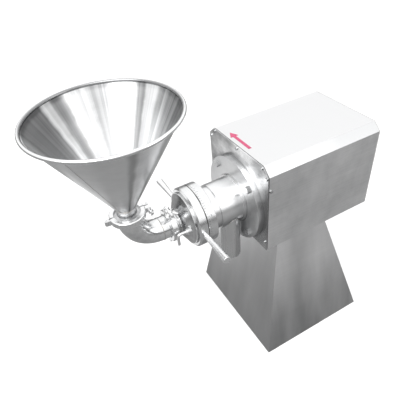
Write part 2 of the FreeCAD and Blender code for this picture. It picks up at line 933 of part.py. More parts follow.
def make_terminal_box():
    """Open box on the motor frame for the mains connection."""
    floor = terminal_box_floor()
    top = axis_z + terminal_box_top
    box = terminal_box_shape(0, floor, top)
    box = box.cut(terminal_box_shape(terminal_box_wall, floor + terminal_box_wall, top))
    z = (floor + top) / 2.0
    y_edge = terminal_box_width / 2.0
    x = along(terminal_box_start + terminal_box_length / 2.0)
    return box.cut(rod_y(gland_radius + fit_gap, y_edge - terminal_box_wall, y_edge, x, z))


def make_terminal_box_lid():
    """Lid of the terminal box."""
    top = axis_z + terminal_box_top
    return terminal_box_shape(0, top, top + terminal_lid_thick)


def make_cable_gland():
    """Cable gland in the side of the terminal box."""
    x = along(terminal_box_start + terminal_box_length / 2.0)
    z = (terminal_box_floor() + axis_z + terminal_box_top) / 2.0
    y_edge = terminal_box_width / 2.0
    thread = rod_y(gland_radius, y_edge - terminal_box_wall, y_edge, x, z)
    cap = rod_y(gland_radius + gland_cap_wall, y_edge, y_edge + gland_length, x, z)
    gland = joined([thread, cap])
    return gland.cut(rod_y(gland_bore, y_edge - terminal_box_wall, y_edge + gland_length, x, z))


# Mill body

def chamber_rear():
    """Front face of the mill body's rear wall, inside the chamber."""
    return -mill_flange_thick - body_boss_length


def mill_body_outline():
    """Outside of the mill body: flange, boss, body and threaded neck."""
    boss = chamber_rear()
    return turned_x([
        (0, 0),
        (0, mill_flange_radius),
        (-mill_flange_thick, mill_flange_radius),
        (-mill_flange_thick, body_boss_radius),
        (boss, body_boss_radius),
        (boss, body_radius),
        (body_front, body_radius),
        (body_front, neck_radius),
        (neck_front, neck_radius),
        (neck_front, 0),
    ])


def outlet_rod(radius):
    """Upright bar on the outlet's centre line."""
    return rod_z(radius, outlet_bottom_z, outlet_top_z, along(outlet_x), outlet_y)


def make_mill_body():
    """Mill body with its flange, threaded neck and the hole for the outlet pipe."""
    boss = chamber_rear()
    body = mill_body_outline()
    body = body.cut(rod_x(chamber_radius, chamber_front, boss))
    body = body.cut(rod_x(stator_radius + run_gap, neck_front, chamber_front))
    body = body.cut(rod_x(seal_seat_radius + run_gap, boss, 0))
    body = body.cut(rod_x(seal_ring_radius + fit_gap, boss, boss + seal_pocket))
    body = body.cut(rod_x(spigot_radius + fit_gap, -spigot_recess, 0))
    body = body.cut(outlet_rod(outlet_radius - outlet_wall))
    for y, z in circle_places(motor_bolt_circle_radius, 4, half_turn / 4):
        body = body.cut(rod_x(motor_bolt_radius + screw_gap, -mill_flange_thick, 0, y, z))
    groove_end = o_ring_x + o_ring_thick
    body = body.cut(rod_x(stator_radius + o_ring_thick + fit_gap, o_ring_x, groove_end))
    for y, z in circle_places(guide_pin_circle, 2, quarter_turn):
        body = body.cut(rod_x(guide_pin_radius + fit_gap, neck_front, neck_front + guide_pin_depth, y, z))
    return body


def make_outlet_pipe():
    """Outlet pipe set tangentially on the body's underside."""
    pipe = outlet_rod(outlet_radius).cut(outlet_rod(outlet_radius - outlet_wall))
    return pipe.cut(mill_body_outline())


def make_flange_bolts():
    """Four hexagon bolts through the mill's flange and the motor's flange."""
    tip = motor_face + motor_flange_thick + flange_nut_height + flange_bolt_reach
    bolts = []
    for y, z in circle_places(motor_bolt_circle_radius, 4, half_turn / 4):
        head = hex_x(flange_bolt_head, -mill_flange_thick - flange_bolt_head_height, -mill_flange_thick, y, z)
        bolts.append(joined([head, rod_x(motor_bolt_radius, -mill_flange_thick, tip, y, z)]))
    return grouped(bolts)


def make_flange_nuts():
    """Nuts of the flange bolts."""
    start = motor_face + motor_flange_thick
    nuts = []
    for y, z in circle_places(motor_bolt_circle_radius, 4, half_turn / 4):
        nut = hex_x(flange_bolt_head, start, start + flange_nut_height, y, z)
        nuts.append(nut.cut(rod_x(motor_bolt_radius + fit_gap, start, start + flange_nut_height, y, z)))
    return grouped(nuts)


def make_seal_seat():
    """Fixed ceramic ring of the shaft seal."""
    rear = chamber_rear() + seal_pocket
    return tube_x(seal_ring_radius, seal_seat_radius + run_gap, rear - seal_ring_thick, rear)


def make_seal_face():
    """Turning carbon ring of the shaft seal."""
    rear = chamber_rear() + seal_pocket - seal_ring_thick
    return tube_x(seal_face_radius, seal_seat_radius + fit_gap, rear - seal_face_thick, rear)


def make_seal_bellows():
    """Folded rubber bellows that presses the carbon ring."""
    rear = chamber_rear() + seal_pocket - seal_ring_thick - seal_face_thick
    step = bellows_length / (2.0 * bellows_folds)
    points = [(rear, seal_seat_radius + fit_gap), (rear - bellows_length, seal_seat_radius + fit_gap)]
    for k in range(2 * bellows_folds + 1):
        radius = bellows_outer if k % 2 == 0 else bellows_inner
        points.append((rear - bellows_length + k * step, radius))
    return turned_x(points)


# Grinding set

def cone_radius(x):
    """Outer radius of the grinding rotor at a place along the shaft."""
    return grinder_front_radius + grinder_slope * (x - grinder_front)


def make_grinding_rotor():
    """Conical rotor with milled slots and short pump blades behind it."""
    cone = turned_x([
        (grinder_front, 0),
        (grinder_front, grinder_front_radius),
        (grinder_rear, grinder_rear_radius),
        (grinder_rear, 0),
    ])
    tilt = math.degrees(math.atan(grinder_slope))
    length = (grinder_rear - grinder_front) * tooth_slot_overrun
    slots = []
    for k in range(tooth_count):
        slot = Part.makeBox(length, tooth_width, tooth_depth * 2.0)
        slot.translate(vec(-length / 2.0, -tooth_width / 2.0, -tooth_depth))
        slot.rotate(vec(0, 0, 0), vec(0, 1, 0), -tilt)
        middle = (grinder_front + grinder_rear) / 2.0
        slot.translate(vec(along(middle), 0, axis_z + cone_radius(middle)))
        slots.append(turned_about_x(slot, full_turn * k / tooth_count))
    rotor = cone.cut(Part.makeCompound(slots))
    blades = []
    for k in range(pump_blade_count):
        blade = block(along(grinder_rear) - root_overlap, along(grinder_rear + pump_blade_length),
                      -pump_blade_thick / 2.0, pump_blade_thick / 2.0,
                      axis_z + seal_seat_radius + run_gap, axis_z + grinder_rear_radius - tooth_depth)
        blades.append(turned_about_x(blade, full_turn * k / pump_blade_count))
    rotor = joined([rotor] + blades)
    rotor = rotor.cut(rod_x(grinder_seat_radius + fit_gap / 2.0, grinder_front, grinder_rear))
    return rotor.cut(key_block(fit_gap))


def make_rotor_key():
    """Key between shaft and grinding rotor."""
    return key_block(0.0)


def make_rotor_nut():
    """Cap nut that holds the grinding rotor, with flats for a spanner."""
    front = grinder_front - cap_nut_length
    nut = turned_x([
        (grinder_front, nut_thread_radius + fit_gap / 2.0),
        (grinder_front, cap_nut_radius),
        (front + cap_nut_dome, cap_nut_radius),
        (front - cap_nut_dome, cap_nut_radius / 2.0),
        (front - cap_nut_dome, 0),
        (shaft_front - fit_gap, 0),
        (shaft_front - fit_gap, nut_thread_radius + fit_gap / 2.0),
    ])
    flats = hex_x(cap_nut_flat_half, front - cap_nut_length, grinder_front)
    return nut.common(flats)


def make_grinding_stator():
    """Toothed stator ring round the grinding rotor."""
    bore_front = cone_radius(stator_front) + grinding_gap
    bore_rear = cone_radius(stator_rear) + grinding_gap
    ring = turned_x([
        (stator_front, bore_front),
        (stator_front, stator_radius),
        (stator_rear, stator_radius),
        (stator_rear, bore_rear),
    ])
    tilt = math.degrees(math.atan(grinder_slope))
    length = (stator_rear - stator_front) * tooth_slot_overrun
    middle = (stator_front + stator_rear) / 2.0
    slot_count = tooth_count + stator_extra_teeth
    slots = []
    for k in range(slot_count):
        slot = Part.makeBox(length, tooth_width, tooth_depth * 2.0)
        slot.translate(vec(-length / 2.0, -tooth_width / 2.0, -tooth_depth))
        slot.rotate(vec(0, 0, 0), vec(0, 1, 0), -tilt)
        slot.translate(vec(along(middle), 0, axis_z + cone_radius(middle) + grinding_gap))
        slots.append(turned_about_x(slot, full_turn * k / slot_count))
    return ring.cut(Part.makeCompound(slots))


def make_body_o_ring():
    """Sealing ring in the body's bore round the sliding stator."""
    middle = o_ring_x + o_ring_thick / 2.0
    radius = stator_radius + run_gap / 2.0 + o_ring_thick / 2.0
    return Part.makeTorus(radius, (o_ring_thick - run_gap) / 2.0, vec(along(middle), 0, axis_z), vec(1, 0, 0))


def make_guide_pins():
    """Two pins that let the front cover slide but not turn."""
    end = neck_front + guide_pin_depth
    start = adjust_nut_front - guide_pin_reach
    return grouped([
        rod_x(guide_pin_radius, start, end, y, z)
        for y, z in circle_places(guide_pin_circle, 2, quarter_turn)
    ])


# Rings

def set_screw_angles():
    """Angles of the scale ring's set screws, with none at the top."""
    return [full_turn * (k + 0.5) / set_screw_count for k in range(set_screw_count)]


def make_scale_ring():
    """Fixed ring behind the adjusting ring, held by set screws."""
    bore = neck_radius + fit_gap
    ring = turned_x([
        (scale_ring_front, bore),
        (scale_ring_front, ring_radius - ring_bevel),
        (scale_ring_front + ring_bevel, ring_radius),
        (scale_ring_rear - ring_bevel, ring_radius),
        (scale_ring_rear, ring_radius - ring_bevel),
        (scale_ring_rear, bore),
    ])
    x = (scale_ring_front + scale_ring_rear) / 2.0
    hole = rod_z(set_screw_radius + fit_gap, axis_z, axis_z + ring_radius, along(x), 0)
    for angle in set_screw_angles():
        ring = ring.cut(turned_about_x(hole, angle))
    return ring


def make_scale_ring_screws():
    """Set screws of the scale ring."""
    x = (scale_ring_front + scale_ring_rear) / 2.0
    bottom = axis_z + neck_radius + fit_gap
    screw = rod_z(set_screw_radius, bottom, bottom + set_screw_length, along(x), 0)
    return grouped([turned_about_x(screw, angle) for angle in set_screw_angles()])


def adjust_ring_rear():
    """Rear face of the adjusting ring."""
    return scale_ring_front - ring_groove


def make_adjusting_ring():
    """Ring that the operator turns to set the grinding gap."""
    rear = adjust_ring_rear()
    front_bore = cover_lip_radius + run_gap
    seat = adjust_ring_front + adjust_wall
    ring = turned_x([
        (adjust_ring_front, front_bore),
        (adjust_ring_front, ring_radius - ring_chamfer),
        (adjust_ring_front + ring_chamfer, ring_radius),
        (rear - ring_bevel, ring_radius),
        (rear, ring_radius - ring_bevel),
        (rear, adjust_bore_radius),
        (seat, adjust_bore_radius),
        (seat, front_bore),
    ])
    hole = rod_y(handle_stem_radius + fit_gap, -ring_radius, ring_radius, along(handle_x), axis_z)
    return ring.cut(hole)


def make_adjusting_nut():
    """Threaded insert of the adjusting ring that runs on the body's neck."""
    outer = adjust_bore_radius - fit_gap
    return tube_x(outer, neck_radius + run_gap, adjust_nut_front, adjust_ring_rear())


def make_adjusting_handles():
    """Two tapered handles screwed into the adjusting ring."""
    handles = []
    for side in (-1, 1):
        x = along(handle_x)
        root_y = ring_radius + handle_stem_length
        inner_y = adjust_bore_radius
        stem = Part.makeCylinder(handle_stem_radius, root_y - inner_y, vec(x, side * inner_y, axis_z),
                                 vec(0, side, 0))
        grip = Part.makeCone(handle_root_radius, handle_tip_radius, handle_tip_y - root_y,
                             vec(x, side * root_y, axis_z), vec(0, side, 0))
        tip_edges = [edge for edge in grip.Edges if abs(abs(edge.CenterOfMass.y) - handle_tip_y) < fit_gap
                     and len(edge.Vertexes) == 1]
        grip = grip.makeFillet(handle_round, tip_edges)
        handles.append(joined([stem, grip]))
    return grouped(handles)


# Front cover, lever and pipework

def ferrule_points(tube_radius, tube_inner, face, direction):
    """Corners of a clamp flange whose face is at a place and whose tube runs in a direction."""
    rim = face + direction * ferrule_rim
    neck_top = ferrule_radius - ferrule_neck_drop
    neck = rim + direction * ferrule_neck_drop * ferrule_slope
    root = neck + direction * ferrule_rim
    return [
        (face, tube_inner),
        (face, ferrule_radius),
        (rim, ferrule_radius),
        (neck, neck_top),
        (root, tube_radius),
        (root, tube_inner),
    ]


def make_front_cover():
    """Conical front cover with the inlet neck and its clamp flange."""
    seat = adjust_ring_front + adjust_wall
    inner = pipe_radius - pipe_wall
    face = joint_x + gasket_thick / 2.0
    neck_back = cover_cone_front - cover_collar_length
    pin_hole_front = adjust_nut_front - guide_pin_reach - guide_pin_room
    outline = turned_x([
        (adjust_nut_front, 0),
        (adjust_nut_front, cover_flange_radius),
        (seat, cover_flange_radius),
        (seat, cover_lip_radius),
        (cover_lip_front, cover_lip_radius),
        (cover_lip_front, cover_cone_base_radius),
        (cover_cone_front, cover_cone_top_radius),
        (cover_cone_front, cover_collar_radius),
        (neck_back, cover_collar_radius),
        (neck_back, pipe_radius),
        (face, pipe_radius),
        (face, 0),
    ])
    ferrule = turned_x(ferrule_points(pipe_radius, inner, face, 1))
    boss = rod_x(lever_boss_radius, lever_boss_front, cover_lip_front, lever_y, lever_z)
    cover = joined([outline, ferrule, boss])
    cover = cover.cut(rod_x(inner, face, adjust_nut_front))
    cover = cover.cut(rod_x(stator_radius + fit_gap, stator_front, adjust_nut_front))
    for y, z in circle_places(guide_pin_circle, 2, quarter_turn):
        cover = cover.cut(rod_x(guide_pin_radius + run_gap, pin_hole_front, adjust_nut_front, y, z))
    thread_end = lever_boss_front + lever_thread_length + lever_thread_room
    return cover.cut(rod_x(lever_rod_radius + fit_gap / 2.0, lever_boss_front, thread_end, lever_y, lever_z))


def make_locking_lever():
    """Bent rod that is screwed into the cover and swings down or outwards."""
    seat = along(lever_boss_front)
    corner = seat - lever_reach
    thread_end = lever_boss_front + lever_thread_length
    thread = rod_x(lever_rod_radius, lever_boss_front, thread_end, lever_y, lever_z)
    collar = rod_x(lever_collar_radius, lever_boss_front - lever_collar_length, lever_boss_front,
                   lever_y, lever_z)
    bend_start = vec(corner + lever_bend_radius, lever_y, lever_z)
    bend_centre = vec(corner + lever_bend_radius, lever_y, lever_z - lever_bend_radius)
    straight = Part.makeCylinder(lever_rod_radius, lever_reach - lever_bend_radius, bend_start, vec(1, 0, 0))
    ring = Part.Face(Part.Wire(Part.makeCircle(lever_rod_radius, bend_start, vec(1, 0, 0))))
    bend = ring.revolve(bend_centre, vec(0, 1, 0), -quarter_turn)
    tail = rod_z(lever_rod_radius, lever_z - lever_tail, lever_z - lever_bend_radius, corner, lever_y)
    return joined([thread, collar, straight, bend, tail])


def make_ferrule_gaskets():
    """Gasket rings in the two clamped pipe joints."""
    outer = ferrule_radius - run_gap
    half = gasket_thick / 2.0
    level = tube_x(outer, pipe_radius - pipe_wall, joint_x - half, joint_x + half)
    x = along(hopper_x)
    upright = rod_z(outer, hopper_joint_z - half, hopper_joint_z + half, x, 0)
    upright = upright.cut(rod_z(pipe_radius - pipe_wall, hopper_joint_z - half, hopper_joint_z + half, x, 0))
    return grouped([level, upright])


def elbow_solid(radius):
    """Solid bar along the elbow's centre line, with the given radius."""
    half = gasket_thick / 2.0
    bend_start = joint_x - level_leg
    level = rod_x(radius, bend_start, joint_x - half)
    ring = Part.Face(Part.Wire(Part.makeCircle(radius, vec(along(bend_start), 0, axis_z), vec(1, 0, 0))))
    bend = ring.revolve(vec(along(bend_start), 0, axis_z + bend_radius), vec(0, 1, 0), quarter_turn)
    upright = rod_z(radius, axis_z + bend_radius, hopper_joint_z - half, along(hopper_x), 0)
    return joined([level, bend, upright])


def make_inlet_elbow():
    """Elbow pipe from the hopper down to the mill's inlet."""
    half = gasket_thick / 2.0
    inner = pipe_radius - pipe_wall
    level_flange = turned_x(ferrule_points(pipe_radius, inner, joint_x - half, -1))
    face = hopper_joint_z - half
    upright_profile = ferrule_points(pipe_radius, inner, face, -1)
    upright_flange = turned_z([(r, z) for z, r in upright_profile], along(hopper_x))
    elbow = joined([elbow_solid(pipe_radius), level_flange, upright_flange])
    return elbow.cut(elbow_solid(inner))


def make_hopper():
    """Cone of the hopper, welded from equal rolled panels, with the flat lip under its rim."""
    x = along(hopper_x)
    neck_inner = hopper_neck_radius - hopper_sheet
    top_inner = hopper_cone_radius - hopper_sheet
    lip_outer = rim_centre_radius - rim_wire_radius / 2.0
    points = [
        (neck_inner, hopper_cone_bottom_z),
        (hopper_neck_radius, hopper_cone_bottom_z),
        (hopper_cone_radius, hopper_cone_top_z - hopper_lip),
        (lip_outer, hopper_cone_top_z - hopper_lip),
        (lip_outer, hopper_cone_top_z),
        (top_inner, hopper_cone_top_z),
    ]
    step = full_turn / hopper_panel_count
    panel = turned_z(points, x, step).cut(make_hopper_rim())
    panels = []
    for k in range(hopper_panel_count):
        turned = panel.copy()
        turned.rotate(vec(x, 0, 0), vec(0, 0, 1), (k + 0.5) * step)
        panels.append(turned)
    return grouped(panels)


def make_hopper_rim():
    """Round wire rim of the hopper."""
    centre = vec(along(hopper_x), 0, rim_centre_z)
    return Part.makeTorus(rim_centre_radius, rim_wire_radius, centre, vec(0, 0, 1))


def make_hopper_neck():
    """Short neck tube under the cone with its clamp flange."""
    x = along(hopper_x)
    face = hopper_joint_z + gasket_thick / 2.0
    neck_inner = hopper_neck_radius - hopper_sheet
    tube = turned_z([
        (neck_inner, face),
        (hopper_neck_radius, face),
        (hopper_neck_radius, hopper_cone_bottom_z),
        (neck_inner, hopper_cone_bottom_z),
    ], x)
    profile = ferrule_points(hopper_neck_radius, neck_inner, face, 1)
    return joined([tube, turned_z([(r, z) for z, r in profile], x)])


# Clamps, drawn about the origin: the pipe runs along Z, the hinge is at -X and the bolt at +X

def clamp_band():
    """Full clamp ring with the wedge-shaped groove."""
    seat_width = gasket_thick / 2.0 + ferrule_rim + clamp_seat_gap
    bore = ferrule_radius - ferrule_neck_drop - clamp_seat_gap
    groove = ferrule_radius + clamp_seat_gap
    inner_width = seat_width + ferrule_neck_drop * ferrule_slope
    edge = clamp_half_width - clamp_bevel
    points = [
        (groove, -seat_width),
        (bore, -inner_width),
        (bore, -clamp_half_width),
        (clamp_radius - clamp_bevel, -clamp_half_width),
        (clamp_radius, -edge),
        (clamp_radius, edge),
        (clamp_radius - clamp_bevel, clamp_half_width),
        (bore, clamp_half_width),
        (bore, inner_width),
        (groove, seat_width),
    ]
    return turned_z(points, 0.0)


def clamp_half(side, tongue):
    """One clamp half on the side of +Y or -Y, with its lug and its hinge knuckle."""
    reach = clamp_radius * 2.0
    keep = block(-reach, reach, min(side * clamp_split, side * reach), max(side * clamp_split, side * reach),
                 -clamp_half_width, clamp_half_width)
    band = clamp_band().common(keep)
    lug_end = clamp_pin_distance + lug_reach
    lug_start = clamp_radius - clamp_bevel
    near = min(side * clamp_split, side * lug_height)
    far = max(side * clamp_split, side * lug_height)
    lug = block(lug_start, lug_end, near, far, -knuckle_half_width, knuckle_half_width)
    slot = block(clamp_radius + lug_root, lug_end, near, far, -lug_slot, lug_slot)
    arm_near = min(side * clamp_split, side * knuckle_radius)
    arm_far = max(side * clamp_split, side * knuckle_radius)
    arm = block(-clamp_pin_distance, -lug_start, arm_near, arm_far, -knuckle_half_width, knuckle_half_width)
    knuckle = rod_z(knuckle_radius, -knuckle_half_width, knuckle_half_width, -clamp_pin_distance, 0)
    hinge = joined([arm, knuckle])
    room_radius = knuckle_radius + run_gap
    if tongue:
        width = knuckle_tongue - fit_gap * 2.0
        room = rod_z(room_radius, -knuckle_half_width, knuckle_half_width, -clamp_pin_distance, 0)
        middle = rod_z(room_radius, -width, width, -clamp_pin_distance, 0)
        hinge = hinge.cut(room.cut(middle))
    else:
        hinge = hinge.cut(rod_z(room_radius, -knuckle_tongue, knuckle_tongue, -clamp_pin_distance, 0))
    half = joined([band, lug, hinge])
    half = half.cut(slot)
    half = half.cut(rod_z(clamp_pin_radius + fit_gap / 2.0, -knuckle_half_width, knuckle_half_width,
                          -clamp_pin_distance, 0))
    if tongue:
        half = half.cut(rod_z(clamp_pin_radius + fit_gap / 2.0, -knuckle_half_width, knuckle_half_width,
                              clamp_pin_distance, side * eye_pivot))
    ring_room = Part.makeCylinder(ferrule_radius - ferrule_neck_drop - clamp_seat_gap, clamp_half_width * 2.0,
                                  vec(0, 0, -clamp_half_width))
    return half.cut(ring_room).removeSplitter()


def clamp_pin_pair():
    """Hinge pin and eyebolt pin of one clamp."""
    hinge = rod_z(clamp_pin_radius, -knuckle_half_width, knuckle_half_width, -clamp_pin_distance, 0)
    eye = rod_z(clamp_pin_radius, -knuckle_half_width, knuckle_half_width, clamp_pin_distance, eye_pivot)
    return [hinge, eye]


def clamp_eyebolt():
    """Eyebolt that swings on its pin and carries the wing nut."""
    eye = rod_z(eye_radius, -eye_half_width, eye_half_width, clamp_pin_distance, eye_pivot)
    bolt = rod_y(eye_bolt_radius, eye_pivot - eye_bolt_length, eye_pivot, clamp_pin_distance, 0)
    shape = joined([eye, bolt])
    return shape.cut(rod_z(clamp_pin_radius + fit_gap / 2.0, -eye_half_width, eye_half_width,
                           clamp_pin_distance, eye_pivot))


def clamp_wing_nut():
    """Wing nut on the eyebolt."""
    seat = -lug_height - run_gap
    hub = rod_y(wing_hub_radius, seat - wing_hub_length, seat, clamp_pin_distance, 0)
    edge = clamp_pin_distance - wing_thick / 2.0
    wings = []
    for side in (-1, 1):
        root = side * wing_hub_radius / 2.0
        corners = [
            vec(edge, seat - wing_root_rise, root),
            vec(edge, seat - wing_root_rise, side * wing_hub_radius),
            vec(edge, seat - wing_knee_rise, side * wing_knee_radius),
            vec(edge, seat - wing_tip_rise, side * wing_tip_radius),
            vec(edge, seat - wing_end_rise, side * wing_end_radius),
            vec(edge, seat - wing_hub_length, root),
        ]
        wings.append(Part.Face(Part.makePolygon(corners + corners[:1])).extrude(vec(wing_thick, 0, 0)))
    nut = joined([hub] + wings)
    bore = rod_y(eye_bolt_radius + fit_gap / 2.0, seat - wing_end_rise, seat, clamp_pin_distance, 0)
    return nut.cut(bore)


def at_inlet(shape):
    """Place a clamp piece on the level joint, hinge below and bolt above."""
    matrix = FreeCAD.Matrix(0, 0, -1, along(joint_x), 0, 1, 0, 0, 1, 0, 0, axis_z, 0, 0, 0, 1)
    placed = shape.copy()
    placed.Placement = FreeCAD.Placement(matrix)
    return placed


def at_hopper(shape):
    """Place a clamp piece on the upright joint, hinge in front and bolt towards the motor."""
    placed = shape.copy()
    placed.translate(vec(along(hopper_x), 0, hopper_joint_z))
    return placed


def make_clamp_pins():
    """Hinge pins and eyebolt pins of both clamps."""
    return grouped([at_inlet(pin) for pin in clamp_pin_pair()] + [at_hopper(pin) for pin in clamp_pin_pair()])


def build_structure():
    """Pedestal, bed and motor cover."""
    export("pedestal_shell", make_pedestal_shell())
    export("foot_frame", make_foot_frame())
    export("bed_plate", make_bed_plate())
    export("bed_bolts", make_bed_bolts())
    export("cable_grommet", make_cable_grommet())
    export("motor_cover", make_motor_cover())
    export("front_plate", make_front_plate())
    export("rear_panel", make_rear_panel())
    export("end_plate_screws", make_end_plate_screws())
    export("cover_screws", make_cover_screws())
    export("rotation_arrow", make_rotation_arrow())


def build_motor():
    """Motor inside the cover."""
    export("motor_frame", make_motor_frame())
    export("motor_flange_shield", make_motor_flange_shield())
    export("motor_rear_shield", make_motor_rear_shield())
    export("motor_foot_bolts", make_motor_foot_bolts())
    export("stator_core", make_stator_core())
    export("stator_windings", make_stator_windings())
    export("rotor_core", make_rotor_core())
    export("bearing_outer_rings", make_bearing_outer_rings())
    export("bearing_inner_rings", make_bearing_inner_rings())
    export("drive_shaft", make_drive_shaft())
    export("motor_fan", make_motor_fan())
    export("fan_cover", make_fan_cover())
    export("terminal_box", make_terminal_box())
    export("terminal_box_lid", make_terminal_box_lid())
    export("cable_gland", make_cable_gland())


def build_mill():
    """Mill body, seal, grinding set and rings."""
    export("mill_body", make_mill_body())
    export("outlet_pipe", make_outlet_pipe())
    export("flange_bolts", make_flange_bolts())
    export("flange_nuts", make_flange_nuts())
    export("seal_seat", make_seal_seat())
    export("seal_face", make_seal_face())
    export("seal_bellows", make_seal_bellows())
    export("grinding_rotor", make_grinding_rotor())
    export("rotor_key", make_rotor_key())
    export("rotor_nut", make_rotor_nut())
    export("grinding_stator", make_grinding_stator())
    export("body_o_ring", make_body_o_ring())
    export("guide_pins", make_guide_pins())
    export("scale_ring", make_scale_ring())
    export("scale_ring_screws", make_scale_ring_screws())
    export("adjusting_ring", make_adjusting_ring())
    export("adjusting_nut", make_adjusting_nut())
    export("adjusting_handles", make_adjusting_handles())
    export("front_cover", make_front_cover())
    export("locking_lever", make_locking_lever())


def build_feed():
    """Elbow, hopper and their clamps."""
    export("ferrule_gaskets", make_ferrule_gaskets())
    export("inlet_elbow", make_inlet_elbow())
    export("hopper", make_hopper())
    export("hopper_rim", make_hopper_rim())
    export("hopper_neck", make_hopper_neck())
    export("clamp_pins", make_clamp_pins())
    export("inlet_clamp_fixed_half", at_inlet(clamp_half(1, True)))
    export("inlet_clamp_swing_half", at_inlet(clamp_half(-1, False)))
    export("inlet_clamp_eyebolt", at_inlet(clamp_eyebolt()))
    export("inlet_clamp_wing_nut", at_inlet(clamp_wing_nut()))
    export("hopper_clamp_fixed_half", at_hopper(clamp_half(1, True)))
    export("hopper_clamp_swing_half", at_hopper(clamp_half(-1, False)))
    export("hopper_clamp_eyebolt", at_hopper(clamp_eyebolt()))
    export("hopper_clamp_wing_nut", at_hopper(clamp_wing_nut()))


os.makedirs("parts", exist_ok=True)
build_structure()
build_motor()
build_mill()
build_feed()
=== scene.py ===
import math

import bmesh
import bpy
import numpy as np
from bpy.props import FloatProperty, FloatVectorProperty, IntProperty, PointerProperty
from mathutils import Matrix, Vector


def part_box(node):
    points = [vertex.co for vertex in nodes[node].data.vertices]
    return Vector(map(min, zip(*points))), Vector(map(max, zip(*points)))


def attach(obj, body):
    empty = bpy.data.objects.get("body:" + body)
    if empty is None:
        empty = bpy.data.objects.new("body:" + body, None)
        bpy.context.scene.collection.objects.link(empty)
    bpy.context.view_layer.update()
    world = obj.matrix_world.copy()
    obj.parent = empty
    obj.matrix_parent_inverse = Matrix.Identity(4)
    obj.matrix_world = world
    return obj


bl_info = {
    "name": "Colloid mill finishes",
    "version": (1, 0, 0),
    "blender": (4, 5, 0),
    "location": "View3D > Sidebar > Mill",
    "description": "Finishes, welds, seams and studio for a hopper-fed colloid mill on a pedestal",
    "category": "Object",
}

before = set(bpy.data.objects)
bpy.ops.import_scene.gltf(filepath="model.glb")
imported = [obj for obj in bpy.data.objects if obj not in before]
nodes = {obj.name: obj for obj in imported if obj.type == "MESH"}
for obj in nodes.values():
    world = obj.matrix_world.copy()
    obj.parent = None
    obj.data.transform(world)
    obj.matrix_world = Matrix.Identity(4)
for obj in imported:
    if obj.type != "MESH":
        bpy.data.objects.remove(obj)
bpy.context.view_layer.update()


def middle_of(node):
    """Centre of a node's box in metres."""
    low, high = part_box(node)
    return tuple((a + b) / 2.0 for a, b in zip(low, high))


SHAFT_Z = middle_of("adjusting_ring")[2]
HOPPER_X = middle_of("hopper")[0]
HOPPER_LOW, HOPPER_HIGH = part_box("hopper")
COVER_LOW, COVER_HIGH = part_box("motor_cover")
PLATE_LOW, PLATE_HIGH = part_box("front_plate")
REAR_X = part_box("rear_panel")[0][0]
PEDESTAL_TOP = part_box("pedestal_shell")[1][2]
SCALE_LOW, SCALE_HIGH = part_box("scale_ring")
RIM_LOW, RIM_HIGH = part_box("hopper_rim")
FLANGE_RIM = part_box("mill_body")[1][1]
RIM_WIRE = 0.009
RIM_INSIDE = (RIM_HIGH[1] - RIM_LOW[1]) / 2.0 - RIM_WIRE
BODY_BOSS = 0.070

# Widths of the painted shade in the flange's corner, of the painted shadow round the flange and of the
# painted shade along the plate's side
CORNER_SHADE = 0.005
PLATE_SHADE = 0.009
SIDE_SHADE = 0.085


# Settings a user would change

class MillFinishSettings(bpy.types.PropertyGroup):
    """Colours and textures of the machine's finishes."""

    sheet_dark: FloatVectorProperty(
        name="Sheet, dark grain", description="Reflected colour in the hollows of brushed sheet",
        subtype="COLOR", size=3, min=0.0, max=1.0, default=(0.62, 0.625, 0.63))
    sheet_light: FloatVectorProperty(
        name="Sheet, light grain", description="Reflected colour on the ridges of brushed sheet",
        subtype="COLOR", size=3, min=0.0, max=1.0, default=(0.94, 0.94, 0.945))
    steel_dark: FloatVectorProperty(
        name="Steel, dark", description="Darker patches of turned and bolted steel",
        subtype="COLOR", size=3, min=0.0, max=1.0, default=(0.5, 0.505, 0.51))
    steel_light: FloatVectorProperty(
        name="Steel, light", description="Lighter patches of turned and bolted steel",
        subtype="COLOR", size=3, min=0.0, max=1.0, default=(0.78, 0.785, 0.79))
    polish_dark: FloatVectorProperty(
        name="Polished steel, dark", description="Darker patches of polished steel",
        subtype="COLOR", size=3, min=0.0, max=1.0, default=(0.66, 0.665, 0.67))
    polish_light: FloatVectorProperty(
        name="Polished steel, light", description="Clean polished steel",
        subtype="COLOR", size=3, min=0.0, max=1.0, default=(0.92, 0.925, 0.93))
    # Also the dark end of the painted shade on the pedestal's foot, round the flange, along the plate's
    # side, on the mill body and on the rim's inner side
    foot_dark: FloatVectorProperty(
        name="Darkest steel", description="Reflected colour at the pedestal's foot and in dark steel",
        subtype="COLOR", size=3, min=0.0, max=1.0, default=(0.3, 0.303, 0.307))
    # Dark end of the painted reflection wedges on the hopper
    hopper_painted_dark: FloatVectorProperty(
        name="Hopper, dark wedge", description="Reflected colour in the dark wedges of the hopper",
        subtype="COLOR", size=3, min=0.0, max=1.0, default=(0.1, 0.101, 0.103))
    rubber: FloatVectorProperty(
        name="Rubber", description="Colour of the black rubber",
        subtype="COLOR", size=3, min=0.0, max=1.0, default=(0.02, 0.02, 0.022))
    marking: FloatVectorProperty(
        name="Marking", description="Colour of the rotation arrow",
        subtype="COLOR", size=3, min=0.0, max=1.0, default=(0.42, 0.035, 0.11))
    motor_paint: FloatVectorProperty(
        name="Motor paint", description="Colour of the painted motor",
        subtype="COLOR", size=3, min=0.0, max=1.0, default=(0.13, 0.2, 0.26))
    grain_pitch: FloatProperty(
        name="Grain pitch", description="Width of one brushing line",
        unit="LENGTH", min=0.0002, max=0.01, default=0.0011)


